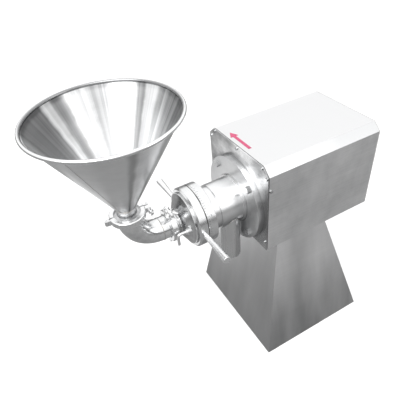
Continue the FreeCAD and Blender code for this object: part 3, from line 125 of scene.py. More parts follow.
class MillDetailSettings(bpy.types.PropertyGroup):
    """Sizes of the welds, seams and scale marks."""

    pipe_radius: FloatProperty(
        name="Pipe", description="Outside radius of the inlet and outlet pipes",
        unit="LENGTH", min=0.01, max=0.1, default=0.03175)
    bend_radius: FloatProperty(
        name="Bend", description="Radius of the inlet bend's centre line",
        unit="LENGTH", min=0.03, max=0.2, default=0.076)
    neck_radius: FloatProperty(
        name="Neck", description="Outside radius of the hopper's neck",
        unit="LENGTH", min=0.01, max=0.1, default=0.0255)
    body_radius: FloatProperty(
        name="Body", description="Outside radius of the mill body's barrel",
        unit="LENGTH", min=0.03, max=0.2, default=0.066)
    bead_radius: FloatProperty(
        name="Weld bead", description="Radius of a weld bead",
        unit="LENGTH", min=0.0003, max=0.004, default=0.0011)
    bead_pitch: FloatProperty(
        name="Bead ripple", description="Distance between the ripples of a weld bead",
        unit="LENGTH", min=0.0005, max=0.01, default=0.0022)
    bead_ripple: FloatProperty(
        name="Ripple height", description="Share of the bead's radius taken by its ripples",
        min=0.0, max=0.5, default=0.18)
    ground_bead: FloatProperty(
        name="Ground weld", description="Radius of a weld that is ground nearly flush",
        unit="LENGTH", min=0.0002, max=0.002, default=0.0006)
    seam_radius: FloatProperty(
        name="Cover seam", description="Radius of the sealing strip between cover and end plates",
        unit="LENGTH", min=0.0003, max=0.004, default=0.0008)
    cover_chamfer_y: FloatProperty(
        name="Cover chamfer, across", description="Width of the cover's top chamfers",
        unit="LENGTH", min=0.0, max=0.1, default=0.024)
    cover_chamfer_z: FloatProperty(
        name="Cover chamfer, down", description="Height of the cover's top chamfers",
        unit="LENGTH", min=0.0, max=0.1, default=0.022)
    scale_marks: IntProperty(
        name="Scale marks", description="Number of marks round the scale ring",
        min=12, max=180, default=72)
    mark_length: FloatProperty(
        name="Mark length", description="Length of a short mark on the scale ring",
        unit="LENGTH", min=0.001, max=0.02, default=0.005)
    mark_width: FloatProperty(
        name="Mark width", description="Width of a mark on the scale ring",
        unit="LENGTH", min=0.0002, max=0.002, default=0.0006)


class MillStudioSettings(bpy.types.PropertyGroup):
    """Camera and lights."""

    camera_place: FloatVectorProperty(
        name="Camera place", description="Where the camera stands",
        subtype="TRANSLATION", unit="LENGTH", size=3, default=(-0.6622, -0.7922, 1.2810))
    camera_turn: FloatVectorProperty(
        name="Camera turn", description="Tilt, roll and heading of the camera",
        subtype="EULER", unit="ROTATION", size=3,
        default=tuple(math.radians(a) for a in (50.404, 4.538, -29.419)))
    lens: FloatProperty(
        name="Lens", description="Focal length on a 36 mm sensor",
        unit="CAMERA", min=10.0, max=200.0, default=37.76)
    sky_strength: FloatProperty(
        name="Sky", description="Strength of the bright sky over the horizon",
        min=0.1, max=10.0, default=1.38)
    reach: FloatProperty(
        name="Floor reach", description="Radius of the studio floor",
        unit="LENGTH", min=3.0, max=50.0, default=9.0)
    floor_colour: FloatVectorProperty(
        name="Floor", description="Colour of the studio floor",
        subtype="COLOR", size=3, min=0.0, max=1.0, default=(0.93, 0.93, 0.93))


def finishes():
    """Settings of the finishes."""
    return bpy.context.scene.mill_finish


def details():
    """Settings of the details."""
    return bpy.context.scene.mill_detail


def studio():
    """Settings of the studio."""
    return bpy.context.scene.mill_studio


# Shader maths

# Sockets of a Mix node that works on colours
MIX_SHARE, MIX_DARK, MIX_LIGHT, MIX_COLOUR = 0, 6, 7, 2


class Amount:
    """A number socket that can be used in Python expressions."""

    def __init__(self, finish, socket):
        self.finish = finish
        self.socket = socket

    def maths(self, operation, first, second=None):
        """Add one Math node on two values."""
        values = {0: first} if second is None else {0: first, 1: second}
        return Amount(self.finish, self.finish.node("ShaderNodeMath", {"operation": operation}, values))

    def __add__(self, other):
        return self.maths("ADD", self, other)

    def __radd__(self, other):
        return self.maths("ADD", other, self)

    def __sub__(self, other):
        return self.maths("SUBTRACT", self, other)

    def __rsub__(self, other):
        return self.maths("SUBTRACT", other, self)

    def __mul__(self, other):
        return self.maths("MULTIPLY", self, other)

    def __rmul__(self, other):
        return self.maths("MULTIPLY", other, self)

    def __truediv__(self, other):
        return self.maths("DIVIDE", self, other)

    def __abs__(self):
        return self.maths("ABSOLUTE", self)

    def power(self, other):
        """This value to a power."""
        return self.maths("POWER", self, other)

    def above(self, other):
        """1 where this value is above another, 0 elsewhere."""
        return self.maths("GREATER_THAN", self, other)


class Shading:
    """The shader nodes of a material or of the surroundings, under construction."""

    def __init__(self, owner):
        owner.use_nodes = True
        self.tree = owner.node_tree
        self.tree.nodes.clear()

    def node(self, kind, settings, values, output=0):
        """Add a node: its settings first, then the values or links of its sockets."""
        made = self.tree.nodes.new(kind)
        for key, value in settings.items():
            if key == "stops":
                self.set_stops(made.color_ramp, value)
            else:
                setattr(made, key, value)
        for key, value in values.items():
            link = value.socket if isinstance(value, Amount) else value
            if isinstance(link, bpy.types.NodeSocket):
                self.tree.links.new(link, made.inputs[key])
            else:
                made.inputs[key].default_value = link
        return made.outputs[output] if made.outputs else None

    def set_stops(self, ramp, stops):
        """Give a ramp its (place, grey) stops."""
        while len(ramp.elements) > len(stops):
            ramp.elements.remove(ramp.elements[-1])
        while len(ramp.elements) < len(stops):
            ramp.elements.new(1.0)
        for element, (where, grey) in zip(ramp.elements, stops):
            element.position = where
            element.color = (grey, grey, grey, 1.0)

    def amount(self, socket):
        """A socket for expressions."""
        return Amount(self, socket)

    def maths(self, operation, first, second):
        """One Math node on two values."""
        return self.amount(self.node("ShaderNodeMath", {"operation": operation}, {0: first, 1: second}))

    def parts(self, vector):
        """The three numbers of a vector."""
        first = self.node("ShaderNodeSeparateXYZ", {}, {0: vector})
        return [self.amount(socket) for socket in first.node.outputs]

    def vector(self, x, y, z):
        """A vector from three numbers."""
        return self.node("ShaderNodeCombineXYZ", {}, {0: x, 1: y, 2: z})

    def noise(self, vector, scale, detail=2.0, rough=0.5):
        """Noise between 0 and 1."""
        return self.amount(self.node("ShaderNodeTexNoise", {}, {
            "Vector": vector, "Scale": scale, "Detail": detail, "Roughness": rough}, "Fac"))

    def stretched(self, vector, stretch):
        """A vector scaled along each axis."""
        return self.node("ShaderNodeMapping", {}, {"Vector": vector, "Scale": stretch})

    def ramp(self, value, stops):
        """Reshape a value through (place, grey) stops."""
        return self.amount(self.node("ShaderNodeValToRGB", {"stops": stops}, {0: value}))


class Finish(Shading):
    """A material under construction."""

    def __init__(self, name):
        self.material = bpy.data.materials.new(name)
        super().__init__(self.material)
        self.place = self.node("ShaderNodeTexCoord", {}, {}, "Object")
        self.facing = self.node("ShaderNodeNewGeometry", {}, {}, "Normal")

    def between(self, share, dark, light):
        """Colour between two colours."""
        return self.node("ShaderNodeMix", {"data_type": "RGBA"}, {
            MIX_SHARE: share, MIX_DARK: (*dark[:3], 1.0), MIX_LIGHT: (*light[:3], 1.0)}, MIX_COLOUR)

    def bumped(self, height, distance, strength=1.0):
        """Normal from a height between 0 and 1 and the real height in metres."""
        return self.node("ShaderNodeBump", {}, {
            "Strength": strength, "Distance": distance, "Height": height}, "Normal")

    def surface(self, **sockets):
        """Close the material with its shader."""
        values = {name.replace("_", " ").title(): value for name, value in sockets.items()}
        shader = self.node("ShaderNodeBsdfPrincipled", {}, values)
        self.node("ShaderNodeOutputMaterial", {}, {"Surface": shader})
        return self.material


def round_shaft(finish):
    """Distance along the shaft and from its line, so that lines run round turned pieces."""
    x, y, z = finish.parts(finish.place)
    height = z - SHAFT_Z
    radius = (y * y + height * height).power(0.5)
    return x, radius


def lathe_lines(finish):
    """Fine lines round the shaft line, soft handling marks and the distance from that line."""
    x, radius = round_shaft(finish)
    fine = 1.0 / finishes().grain_pitch
    lines = finish.noise(finish.vector(x * fine, radius * fine, 0.0), 1.4, 2.0, 0.6)
    marks = finish.noise(finish.place, 26.0, 3.0, 0.6)
    return lines, marks, radius


def round_hopper(finish):
    """Height and distance from the hopper's axis, and the direction from it."""
    x, y, z = finish.parts(finish.place)
    side = x - HOPPER_X
    radius = (side * side + y * y).power(0.5)
    direction = finish.node("ShaderNodeVectorMath", {"operation": "NORMALIZE"},
                            {0: finish.vector(side, y, 0.0)})
    return z, radius, direction


def sheet_grain(finish, along_axis, top_axis):
    """Brushing lines that run level on the walls and along one axis on the top."""
    fine = 1.0 / finishes().grain_pitch
    long_lines = fine / 90.0
    stretch_wall = [long_lines, long_lines, long_lines]
    stretch_wall[along_axis] = fine
    stretch_top = [long_lines, long_lines, long_lines]
    stretch_top[top_axis] = fine
    wall = finish.noise(finish.stretched(finish.place, stretch_wall), 1.0, 3.0, 0.65)
    top = finish.noise(finish.stretched(finish.place, stretch_top), 1.0, 3.0, 0.65)
    upward = abs(finish.parts(finish.facing)[2]).above(0.85)
    return wall * (1.0 - upward) + top * upward


# Finishes

# Dark and light colours of the smaller finishes
LAMINATION = ((0.1, 0.1, 0.11), (0.33, 0.33, 0.35))
COPPER = ((0.2, 0.06, 0.02), (0.62, 0.25, 0.1))
WELD = ((0.5, 0.46, 0.4), (0.62, 0.64, 0.68))
SATIN = ((0.74, 0.745, 0.75), (0.86, 0.865, 0.87))
BRONZE = ((0.3, 0.16, 0.06), (0.62, 0.4, 0.18))
HANDLE = ((0.82, 0.825, 0.83), (0.96, 0.962, 0.965))
HARD_STEEL_DARK = (0.25, 0.25, 0.26)
SEALANT = (0.03, 0.03, 0.032)
PALE_SEALANT = (0.36, 0.36, 0.35)
MARK_FILL = (0.02, 0.02, 0.02)
PLASTIC = (0.025, 0.025, 0.028)
CERAMIC = (0.8, 0.78, 0.72)
CARBON = (0.035, 0.035, 0.037)
GASKET = (0.72, 0.71, 0.68)


def brushed_sheet():
    """Brushed stainless sheet with level grain and soft wipes, and painted shade on the sloping chamfers
    towards the rear.
    """
    finish = Finish("brushed_sheet_steel")
    settings = finishes()
    grain = sheet_grain(finish, 2, 1)
    wipes = finish.noise(finish.stretched(finish.place, (5.0, 5.0, 3.2)), 2.4, 4.0, 0.6)
    upward = finish.ramp(finish.parts(finish.facing)[2], [(0.3, 0.0), (0.6, 1.0)])
    wall = finish.ramp(grain * 0.35 + wipes * 0.65, [(0.3, 0.0), (0.7, 1.0)])
    level = finish.parts(finish.facing)[2].above(0.95)
    # Painted shade: the sloping chamfers grow darker towards the rear
    rearward = (finish.parts(finish.place)[0] - COVER_LOW[0]) / (COVER_HIGH[0] - COVER_LOW[0])
    rear_chamfer_shade = (1.0 - level) * finish.ramp(rearward, [(0.2, 0.0), (1.0, 1.0)])
    share = wall * (1.0 - upward) + (0.46 + grain * 0.1 - rear_chamfer_shade * 0.9) * upward
    return finish.surface(
        base_color=finish.between(share, settings.sheet_dark, settings.sheet_light),
        metallic=1.0, roughness=0.3 + grain * 0.14 + wipes * 0.06,
        normal=finish.bumped(grain, 0.00006, 0.6))


def pedestal_sheet():
    """Pedestal sheet: level grain, broad upright wipes and painted shade that grows darker towards the foot.
    """
    finish = Finish("pedestal_sheet_steel")
    settings = finishes()
    grain = sheet_grain(finish, 2, 1)
    wipes = finish.noise(finish.stretched(finish.place, (9.0, 9.0, 1.1)), 1.3, 3.0, 0.5)
    height = finish.parts(finish.place)[2] / PEDESTAL_TOP
    # Painted shade: darker towards the foot; the faces towards the front and back get a flatter, dimmer copy
    # of it
    side_foot = finish.ramp(height, [(0.0, 0.0), (0.3, 0.25), (0.75, 1.0)])
    front_foot = finish.ramp(height, [(0.0, 0.3), (0.7, 0.62)])
    front = finish.ramp(abs(finish.parts(finish.facing)[0]), [(0.5, 0.0), (0.8, 1.0)])
    foot = side_foot * (1.0 - front) + front_foot * front
    share = finish.ramp(grain * 0.2 + wipes * 0.8, [(0.32, 0.0), (0.68, 1.0)])
    shaded_share = share * (0.45 - front * 0.2) + foot * 0.55
    return finish.surface(
        base_color=finish.between(shaded_share, settings.foot_dark, settings.sheet_light),
        metallic=1.0, roughness=0.3 + grain * 0.14 + wipes * 0.06,
        normal=finish.bumped(grain, 0.00006, 0.6))


def polished_plate():
    """Front plate: smoother sheet with faint level grain and cloudy wipes, a painted shadow round the flange
    and painted shade along the plate's side.
    """
    finish = Finish("polished_plate_steel")
    settings = finishes()
    grain = sheet_grain(finish, 2, 1)
    clouds = finish.noise(finish.place, 9.0, 3.0, 0.6)
    _, radius = round_shaft(finish)
    # Painted shadow on the plate round the flange's rim, and painted shade along the plate's side
    flange_shadow = finish.ramp((radius - FLANGE_RIM) / PLATE_SHADE, [(0.0, 1.0), (1.0, 0.0)])
    side = finish.ramp((finish.parts(finish.place)[1] - PLATE_LOW[1]) / SIDE_SHADE, [(0.0, 1.0), (1.0, 0.0)])
    share = finish.ramp(grain * 0.2 + clouds * 0.8, [(0.38, 0.0), (0.62, 1.0)])
    shaded_share = share * (1.0 - flange_shadow * 0.75) * (1.0 - side * 0.7)
    return finish.surface(
        base_color=finish.between(shaded_share, settings.foot_dark, settings.polish_light),
        metallic=1.0, roughness=0.16 + grain * 0.1 + clouds * 0.06,
        normal=finish.bumped(grain, 0.00004, 0.4))


def turned_steel(name, roughness, spread, depth, dark, light):
    """Steel turned on a lathe: fine lines round the shaft line, with soft handling marks."""
    finish = Finish(name)
    lines, marks, _ = lathe_lines(finish)
    share = finish.ramp(lines * 0.45 + marks * 0.55, [(0.28, 0.0), (0.72, 1.0)])
    return finish.surface(
        base_color=finish.between(share, dark, light),
        metallic=1.0, roughness=roughness + lines * spread + marks * spread * 0.5,
        normal=finish.bumped(lines, depth, 0.7))


def polished_pipe(name, roughness):
    """Polished stainless pipe with faint scratches and smears."""
    finish = Finish(name)
    settings = finishes()
    scratches = finish.noise(finish.stretched(finish.place, (240.0, 40.0, 240.0)), 1.6, 2.0, 0.7)
    smears = finish.noise(finish.place, 17.0, 4.0, 0.62)
    share = finish.ramp(smears, [(0.3, 0.0), (0.62, 1.0)])
    return finish.surface(
        base_color=finish.between(share, settings.polish_dark, settings.polish_light),
        metallic=1.0, roughness=roughness + scratches * 0.06 + smears * 0.08,
        normal=finish.bumped(scratches, 0.00002, 0.5))


def drawn_pipe():
    """Outlet pipe: lines drawn along the upright pipe, duller than the inlet pipe."""
    finish = Finish("drawn_outlet_steel")
    settings = finishes()
    lines = finish.noise(finish.stretched(finish.place, (170.0, 170.0, 4.0)), 1.0, 2.0, 0.6)
    smears = finish.noise(finish.place, 12.0, 3.0, 0.6)
    share = finish.ramp(lines * 0.5 + smears * 0.5, [(0.3, 0.0), (0.7, 1.0)])
    return finish.surface(
        base_color=finish.between(share, settings.polish_dark, settings.steel_light),
        metallic=1.0, roughness=0.22 + lines * 0.12, normal=finish.bumped(lines, 0.00003, 0.5))


# Painted reflections on the hopper: brightness of its light and dark wedges, by the share of a turn round
# its axis
HOPPER_PAINTED_REFLECTIONS = (
    (0.0, 0.98), (0.05, 0.93), (0.236, 0.92), (0.247, 0.4), (0.255, 0.4), (0.265, 0.9), (0.29, 1.0),
    (0.315, 1.0), (0.33, 0.3), (0.36, 0.25), (0.47, 0.35), (0.545, 0.5), (0.562, 1.0), (0.586, 1.0),
    (0.594, 0.5), (0.612, 0.55), (0.624, 1.0), (0.668, 1.0), (0.684, 0.5), (0.724, 0.45), (0.74, 1.0),
    (0.785, 1.0), (0.797, 0.35), (0.822, 0.22), (0.834, 0.6), (0.848, 0.85), (0.862, 0.22), (0.93, 0.18),
    (0.97, 0.3), (1.0, 0.95))


def hopper_sheet():
    """Hopper sheet: lines spun round the cone, with painted reflections as light and dark wedges down its
    slope.

    The painted wedges follow the angle round the hopper's axis, counted as a share of a turn from its outer
    side; outside they stand only on the part that faces the front. They are broken up by streaks inside and
    by soft smudges outside.
    """
    finish = Finish("spun_hopper_steel")
    settings = finishes()
    height, radius, direction = round_hopper(finish)
    x, y, _ = finish.parts(finish.place)
    turn = finish.maths("ARCTAN2", y, x - HOPPER_X) / (2.0 * math.pi) + 0.5
    fine = 1.0 / settings.grain_pitch
    lines = finish.noise(finish.vector(height * fine, radius * fine, 0.0), 0.9, 2.0, 0.6)
    streaks = finish.noise(direction, 9.0, 4.0, 0.7)
    smudges = finish.noise(finish.stretched(finish.place, (9.0, 9.0, 22.0)), 1.2, 4.0, 0.6)
    inside = finish.parts(finish.facing)[2].above(0.0)
    # Painted reflections: light and dark wedges round the hopper's axis
    wedges = finish.ramp(turn + (smudges - 0.5) * 0.016, HOPPER_PAINTED_REFLECTIONS)
    level = (height - HOPPER_LOW[2]) / (HOPPER_HIGH[2] - HOPPER_LOW[2])
    # Painted light on the lower inside, and painted shade on the inside under the lip
    depth = finish.ramp(level, [(0.2, 0.5), (0.85, 0.0)])
    lip = finish.ramp(level, [(0.955, 0.0), (0.985, 1.0)])
    calm = finish.ramp(turn, [(0.84, 1.0), (0.9, 0.35)])
    broken = inside * ((streaks - 0.66) * calm + depth * calm) + (1.0 - inside) * ((smudges - 0.5) * 0.3)
    # Outside, the painted reflection wedges stand only on the part that faces the front
    facing_front = finish.ramp(turn, [(0.345, 1.0), (0.38, 0.0)])
    outer = (wedges * facing_front + (1.0 - facing_front) * 0.92) * 0.85 + 0.15
    # Painted shade on the outside at the cone's root
    root = finish.ramp(level, [(0.02, 0.5), (0.3, 0.0)])
    softened = inside * (wedges - lip * 0.12) + (1.0 - inside) * (outer - root)
    share = finish.ramp(softened + broken + (lines - 0.5) * 0.12, [(0.0, 0.0), (1.0, 1.0)])
    return finish.surface(
        base_color=finish.between(share, settings.hopper_painted_dark, settings.polish_light),
        metallic=1.0, roughness=0.24 + lines * 0.1 + streaks * 0.08,
        anisotropic=0.5, anisotropic_rotation=0.25,
        normal=finish.bumped(lines, 0.00005, 0.6))


def rolled_rim():
    """Hopper rim: a polished wire with painted shade on its inner side."""
    finish = Finish("rolled_rim_steel")
    settings = finishes()
    _, radius, direction = round_hopper(finish)
    smears = finish.noise(direction, 7.0, 3.0, 0.6)
    # Painted shade on the wire's inner side, towards the hopper's inside
    share = finish.ramp((radius - RIM_INSIDE) / RIM_WIRE, [(0.2, 0.0), (0.55, 1.0)])
    return finish.surface(
        base_color=finish.between(share * (0.75 + smears * 0.25), settings.foot_dark, settings.polish_light),
        metallic=1.0, roughness=0.14 + smears * 0.12,
        normal=finish.bumped(smears, 0.00003, 0.4))


def turned_body():
    """Mill body: lathe lines round the shaft, with painted shade in its flange's corner, along the flange's
    rim and on its underside.
    """
    finish = Finish("turned_body_stainless")
    settings = finishes()
    lines, marks, radius = lathe_lines(finish)
    on_flange = radius.above(BODY_BOSS + 0.0004)
    # Painted shade in the flange's corner round the boss and along the flange's rim
    corner = on_flange * finish.ramp((radius - BODY_BOSS) / CORNER_SHADE, [(0.2, 1.0), (1.0, 0.0)])
    flange_rim_shade = finish.ramp((FLANGE_RIM - radius) / CORNER_SHADE, [(0.1, 1.0), (0.35, 0.0)])
    share = finish.ramp(lines * 0.45 + marks * 0.55, [(0.28, 0.7), (0.62, 1.0)])
    # Painted shade on the underside, where the body faces down
    under = finish.ramp(finish.parts(finish.facing)[2] * 0.5 + 0.5, [(0.25, 1.0), (0.6, 0.0)])
    painted_shade_factor = (1.0 - corner * 0.8) * (1.0 - flange_rim_shade * 0.25) * (1.0 - under * 0.8)
    shaded_share = share * painted_shade_factor * (1.0 - on_flange * 0.1)
    return finish.surface(
        base_color=finish.between(shaded_share, settings.foot_dark, settings.polish_light),
        metallic=1.0, roughness=0.27 + lines * 0.06 + marks * 0.02,
        normal=finish.bumped(lines, 0.00004, 0.4))


def small_steel(name, roughness, dark, light, grit):
    """Small steel parts: bolts, screws, clamps and pins, with handling scratches."""
    finish = Finish(name)
    scratches = finish.noise(finish.place, grit, 4.0, 0.7)
    patches = finish.noise(finish.place, 45.0, 2.0, 0.5)
    share = finish.ramp(scratches * 0.5 + patches * 0.5, [(0.3, 0.0), (0.7, 1.0)])
    return finish.surface(
        base_color=finish.between(share, dark, light),
        metallic=1.0, roughness=roughness + scratches * 0.18,
        normal=finish.bumped(scratches, 0.00005, 0.5))


def rubber():
    """Black rubber with a faint bloom."""
    finish = Finish("black_rubber_compound")
    bloom = finish.noise(finish.place, 120.0, 4.0, 0.6)
    dark = finishes().rubber
    pale = tuple(c * 2.4 for c in dark)
    return finish.surface(
        base_color=finish.between(bloom, dark, pale), roughness=0.55 + bloom * 0.25,
        normal=finish.bumped(bloom, 0.00008, 0.5))


def marking_film():
    """Printed red film with a slightly uneven gloss."""
    finish = Finish("red_marking_film")
    speckle = finish.noise(finish.place, 420.0, 3.0, 0.6)
    red = finishes().marking
    faded = tuple(min(1.0, c * 1.35 + 0.02) for c in red)
    return finish.surface(
        base_color=finish.between(finish.ramp(speckle, [(0.4, 0.0), (0.6, 1.0)]), red, faded),
        roughness=0.32 + speckle * 0.2, coat_weight=0.3,
        normal=finish.bumped(speckle, 0.00003, 0.4))


def painted(name, colour, peel, roughness):
    """Paint with orange peel and paler rubbed patches."""
    finish = Finish(name)
    skin = finish.noise(finish.place, peel, 2.0, 0.5)
    rubbed = finish.ramp(finish.noise(finish.place, 38.0, 4.0, 0.6), [(0.5, 0.0), (0.72, 1.0)])
    pale = tuple(min(1.0, c * 1.3 + 0.02) for c in colour)
    return finish.surface(
        base_color=finish.between(rubbed, colour, pale), roughness=roughness + rubbed * 0.15,
        coat_weight=0.2, normal=finish.bumped(skin, 0.0001, 0.5))


def laminated():
    """Stacked sheets: thin dark joints along the shaft."""
    finish = Finish("stacked_lamination")
    x, _ = round_shaft(finish)
    sheets = finish.noise(finish.vector(x * 1400.0, 0.0, 0.0), 1.0, 1.0, 0.5)
    stain = finish.noise(finish.place, 60.0, 3.0, 0.6)
    share = finish.ramp(sheets * 0.7 + stain * 0.3, [(0.35, 0.0), (0.65, 1.0)])
    return finish.surface(
        base_color=finish.between(share, *LAMINATION),
        metallic=1.0, roughness=0.42 + sheets * 0.2, normal=finish.bumped(sheets, 0.0001, 0.6))


def wound():
    """Varnished copper winding with strands that run round the shaft."""
    finish = Finish("varnished_winding")
    x, radius = round_shaft(finish)
    strands = finish.noise(finish.vector(x * 700.0, radius * 700.0, 0.0), 1.0, 2.0, 0.5)
    drips = finish.noise(finish.place, 70.0, 3.0, 0.6)
    return finish.surface(
        base_color=finish.between(strands * 0.6 + drips * 0.4, *COPPER),
        roughness=0.25 + drips * 0.2, coat_weight=0.5, normal=finish.bumped(strands, 0.0004, 0.8))


def moulded(name, colour, roughness):
    """Moulded plastic with a fine spark-eroded texture."""
    finish = Finish(name)
    texture = finish.noise(finish.place, 900.0, 2.0, 0.5)
    cloud = finish.noise(finish.place, 30.0, 2.0, 0.5)
    pale = tuple(min(1.0, c * 1.5 + 0.01) for c in colour)
    return finish.surface(
        base_color=finish.between(cloud, colour, pale), roughness=roughness + texture * 0.15,
        normal=finish.bumped(texture, 0.00005, 0.6))


def weld_metal():
    """Weld metal with straw and blue heat tints along the bead."""
    finish = Finish("tinted_weld_metal")
    tint = finish.noise(finish.place, 60.0, 3.0, 0.6)
    ripple = finish.noise(finish.place, 900.0, 2.0, 0.5)
    return finish.surface(
        base_color=finish.between(finish.ramp(tint, [(0.35, 0.0), (0.65, 1.0)]), *WELD),
        metallic=1.0, roughness=0.26 + ripple * 0.2, normal=finish.bumped(ripple, 0.0001, 0.6))


def slot_finishes():
    """Finish of each of the record's material slots."""
    settings = finishes()
    steel_dark, steel_light = settings.steel_dark, settings.steel_light
    polish_light = settings.polish_light
    return {
        "brushed_sheet": brushed_sheet(),
        "pedestal_sheet": pedestal_sheet(),
        "outlet_steel": drawn_pipe(),
        "weld_metal": weld_metal(),
        "seam_sealant": moulded("seam_sealant", SEALANT, 0.45),
        "pale_sealant": moulded("pale_seam_sealant", PALE_SEALANT, 0.45),
        "mark_fill": painted("black_mark_fill", MARK_FILL, 900.0, 0.4),
        "polished_plate": polished_plate(),
        "bolt_steel": small_steel("plain_bolt_steel", 0.14, settings.foot_dark, steel_light, 260.0),
        "black_rubber": rubber(),
        "red_marking": marking_film(),
        "motor_paint": painted("motor_enamel", settings.motor_paint, 520.0, 0.35),
        "lamination": laminated(),
        "winding": wound(),
        "bearing_steel": small_steel("ground_bearing_steel", 0.1, steel_light, polish_light, 500.0),
        "shaft_steel": turned_steel("turned_shaft_steel", 0.2, 0.14, 0.00005, steel_dark, steel_light),
        "black_plastic": moulded("black_moulded_plastic", PLASTIC, 0.4),
        "satin_stainless": turned_steel("satin_turned_stainless", 0.16, 0.1, 0.00005, *SATIN),
        "cone_steel": turned_steel("turned_cone_steel", 0.1, 0.1, 0.00004, settings.foot_dark, polish_light),
        "seal_ceramic": moulded("fired_seal_ceramic", CERAMIC, 0.2),
        "seal_carbon": moulded("pressed_seal_carbon", CARBON, 0.34),
        "hard_steel": turned_steel("ground_hard_steel", 0.22, 0.1, 0.00004, HARD_STEEL_DARK, steel_light),
        "bronze": turned_steel("turned_bronze", 0.28, 0.14, 0.00006, *BRONZE),
        "polished_steel": small_steel("polished_handle_steel", 0.2, *HANDLE, 190.0),
        "polished_stainless": polished_pipe("polished_pipe_stainless", 0.1),
        "white_gasket": moulded("white_gasket_rubber", GASKET, 0.5),
        "hopper_sheet": hopper_sheet(),
        "rim_steel": rolled_rim(),
        # The neck's steel takes a darker range, a painted stand-in for the dark band it reflects
        "neck_steel": small_steel("shaded_neck_steel", 0.24, settings.foot_dark, steel_light, 220.0),
        "body_steel": turned_body(),
        "clamp_steel": small_steel("cast_clamp_steel", 0.18, steel_light, polish_light, 320.0),
    }


# Surfaces

# Points round a bead, the share by which every fifth mark is longer, the marks' place on the
# ring, the hopper's panels and how far its lip stands out past them
BEAD_SECTION = 10
LONG_MARK = 1.7
MARK_INSET = 0.0016
MARK_DEPTH = 0.0002
MARK_PROUD = 0.00012
HOPPER_PANELS = 4
HOPPER_LIP_REACH = 0.00225
HOPPER_LIP_RISE = 0.002
BLOCK_FACES = ((0, 2, 3, 1), (4, 5, 7, 6), (0, 1, 5, 4), (2, 6, 7, 3), (0, 4, 6, 2), (1, 3, 7, 5))


def grid_faces(rows, columns):
    """Quads of a grid that closes on itself along its columns."""
    row, column = np.meshgrid(np.arange(rows - 1), np.arange(columns), indexing="ij")
    following = (column + 1) % columns
    a = row * columns + column
    b = row * columns + following
    c = (row + 1) * columns + following
    d = (row + 1) * columns + column
    return np.stack([a, b, c, d], axis=-1).reshape(-1, 4)


def new_piece(name, surface, body, slot):
    """Put a worked-out surface into the scene, give it its finish and let it ride on its body."""
    points, faces = surface
    mesh = bpy.data.meshes.new(name)
    mesh.from_pydata(points.reshape(-1, 3).tolist(), [], faces.tolist())
    mesh.validate()
    piece = bpy.data.objects.new(name, mesh)
    bpy.context.scene.collection.objects.link(piece)
    turn_outwards(mesh)
    mesh.materials.append(made_finishes[slot])
    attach(piece, body)
    return piece


def turn_outwards(mesh):
    """Merge doubles, point the faces outwards and smooth them."""
    shape = bmesh.new()
    shape.from_mesh(mesh)
    bmesh.ops.remove_doubles(shape, verts=shape.verts, dist=0.000001)
    bmesh.ops.recalc_face_normals(shape, faces=shape.faces)
    shape.to_mesh(mesh)
    shape.free()
    mesh.shade_smooth()


def rippled(way, pitch):
    """Bead size along its way: 1 less the ripple, plus the ripple times the absolute sine of the way."""
    ripple = details().bead_ripple
    return 1.0 - ripple + ripple * np.abs(np.sin(math.pi * way / pitch))


def closed_bead(path, bead):
    """Weld bead along a closed path.

    At each point of the path the section is a circle across the path's direction. Its radius
    follows the ripple. The direction is the difference between the next and the last point.
    """
    forward = np.roll(path, -1, axis=0) - np.roll(path, 1, axis=0)
    steps = np.linalg.norm(np.roll(path, -1, axis=0) - path, axis=1)
    way = np.concatenate([[0.0], np.cumsum(steps)[:-1]])
    pitch = steps.sum() / round(steps.sum() / details().bead_pitch)
    forward /= np.linalg.norm(forward, axis=1)[:, None]
    outward = path - path.mean(axis=0)
    side = np.cross(forward, outward)
    side /= np.linalg.norm(side, axis=1)[:, None]
    up = np.cross(side, forward)
    turn = np.linspace(0.0, 2.0 * math.pi, BEAD_SECTION, endpoint=False)
    size = bead * rippled(way, pitch)
    points = path[:, None, :] + (size[:, None] * np.cos(turn))[:, :, None] * up[:, None, :]
    points = points + (size[:, None] * np.sin(turn))[:, :, None] * side[:, None, :]
    faces = grid_faces(len(path) + 1, BEAD_SECTION) % (len(path) * BEAD_SECTION)
    return points, faces


def straight_bead(start, end, bead):
    """Weld bead between two points.

    The section is a circle across the line, with the same ripple, and it shrinks to nothing at
    both ends as a quarter circle.
    """
    start = np.array(start)
    end = np.array(end)
    length = np.linalg.norm(end - start)
    forward = (end - start) / length
    side = np.cross(forward, (0.3, 0.9, 0.1))
    side /= np.linalg.norm(side)
    up = np.cross(side, forward)
    pitch = details().bead_pitch
    way = np.linspace(0.0, length, int(length / pitch) * 4)
    turn = np.linspace(0.0, 2.0 * math.pi, BEAD_SECTION, endpoint=False)
    taper = np.sqrt(np.clip(np.minimum(way, length - way) / (2.0 * bead), 0.0, 1.0))
    size = bead * rippled(way, pitch) * taper
    points = (start + way[:, None] * forward)[:, None, :]
    points = points + (size[:, None] * np.cos(turn))[:, :, None] * up
    points = points + (size[:, None] * np.sin(turn))[:, :, None] * side
    return points, grid_faces(len(way), BEAD_SECTION)


def circle_path(centre, across, upward, radius):
    """Points on a circle: the centre, plus cosine and sine of the angle along two directions."""
    count = int(2.0 * math.pi * radius / details().bead_pitch) * 4
    angle = np.linspace(0.0, 2.0 * math.pi, count, endpoint=False)[:, None]
    return np.array(centre) + radius * (np.cos(angle) * np.array(across) + np.sin(angle) * np.array(upward))


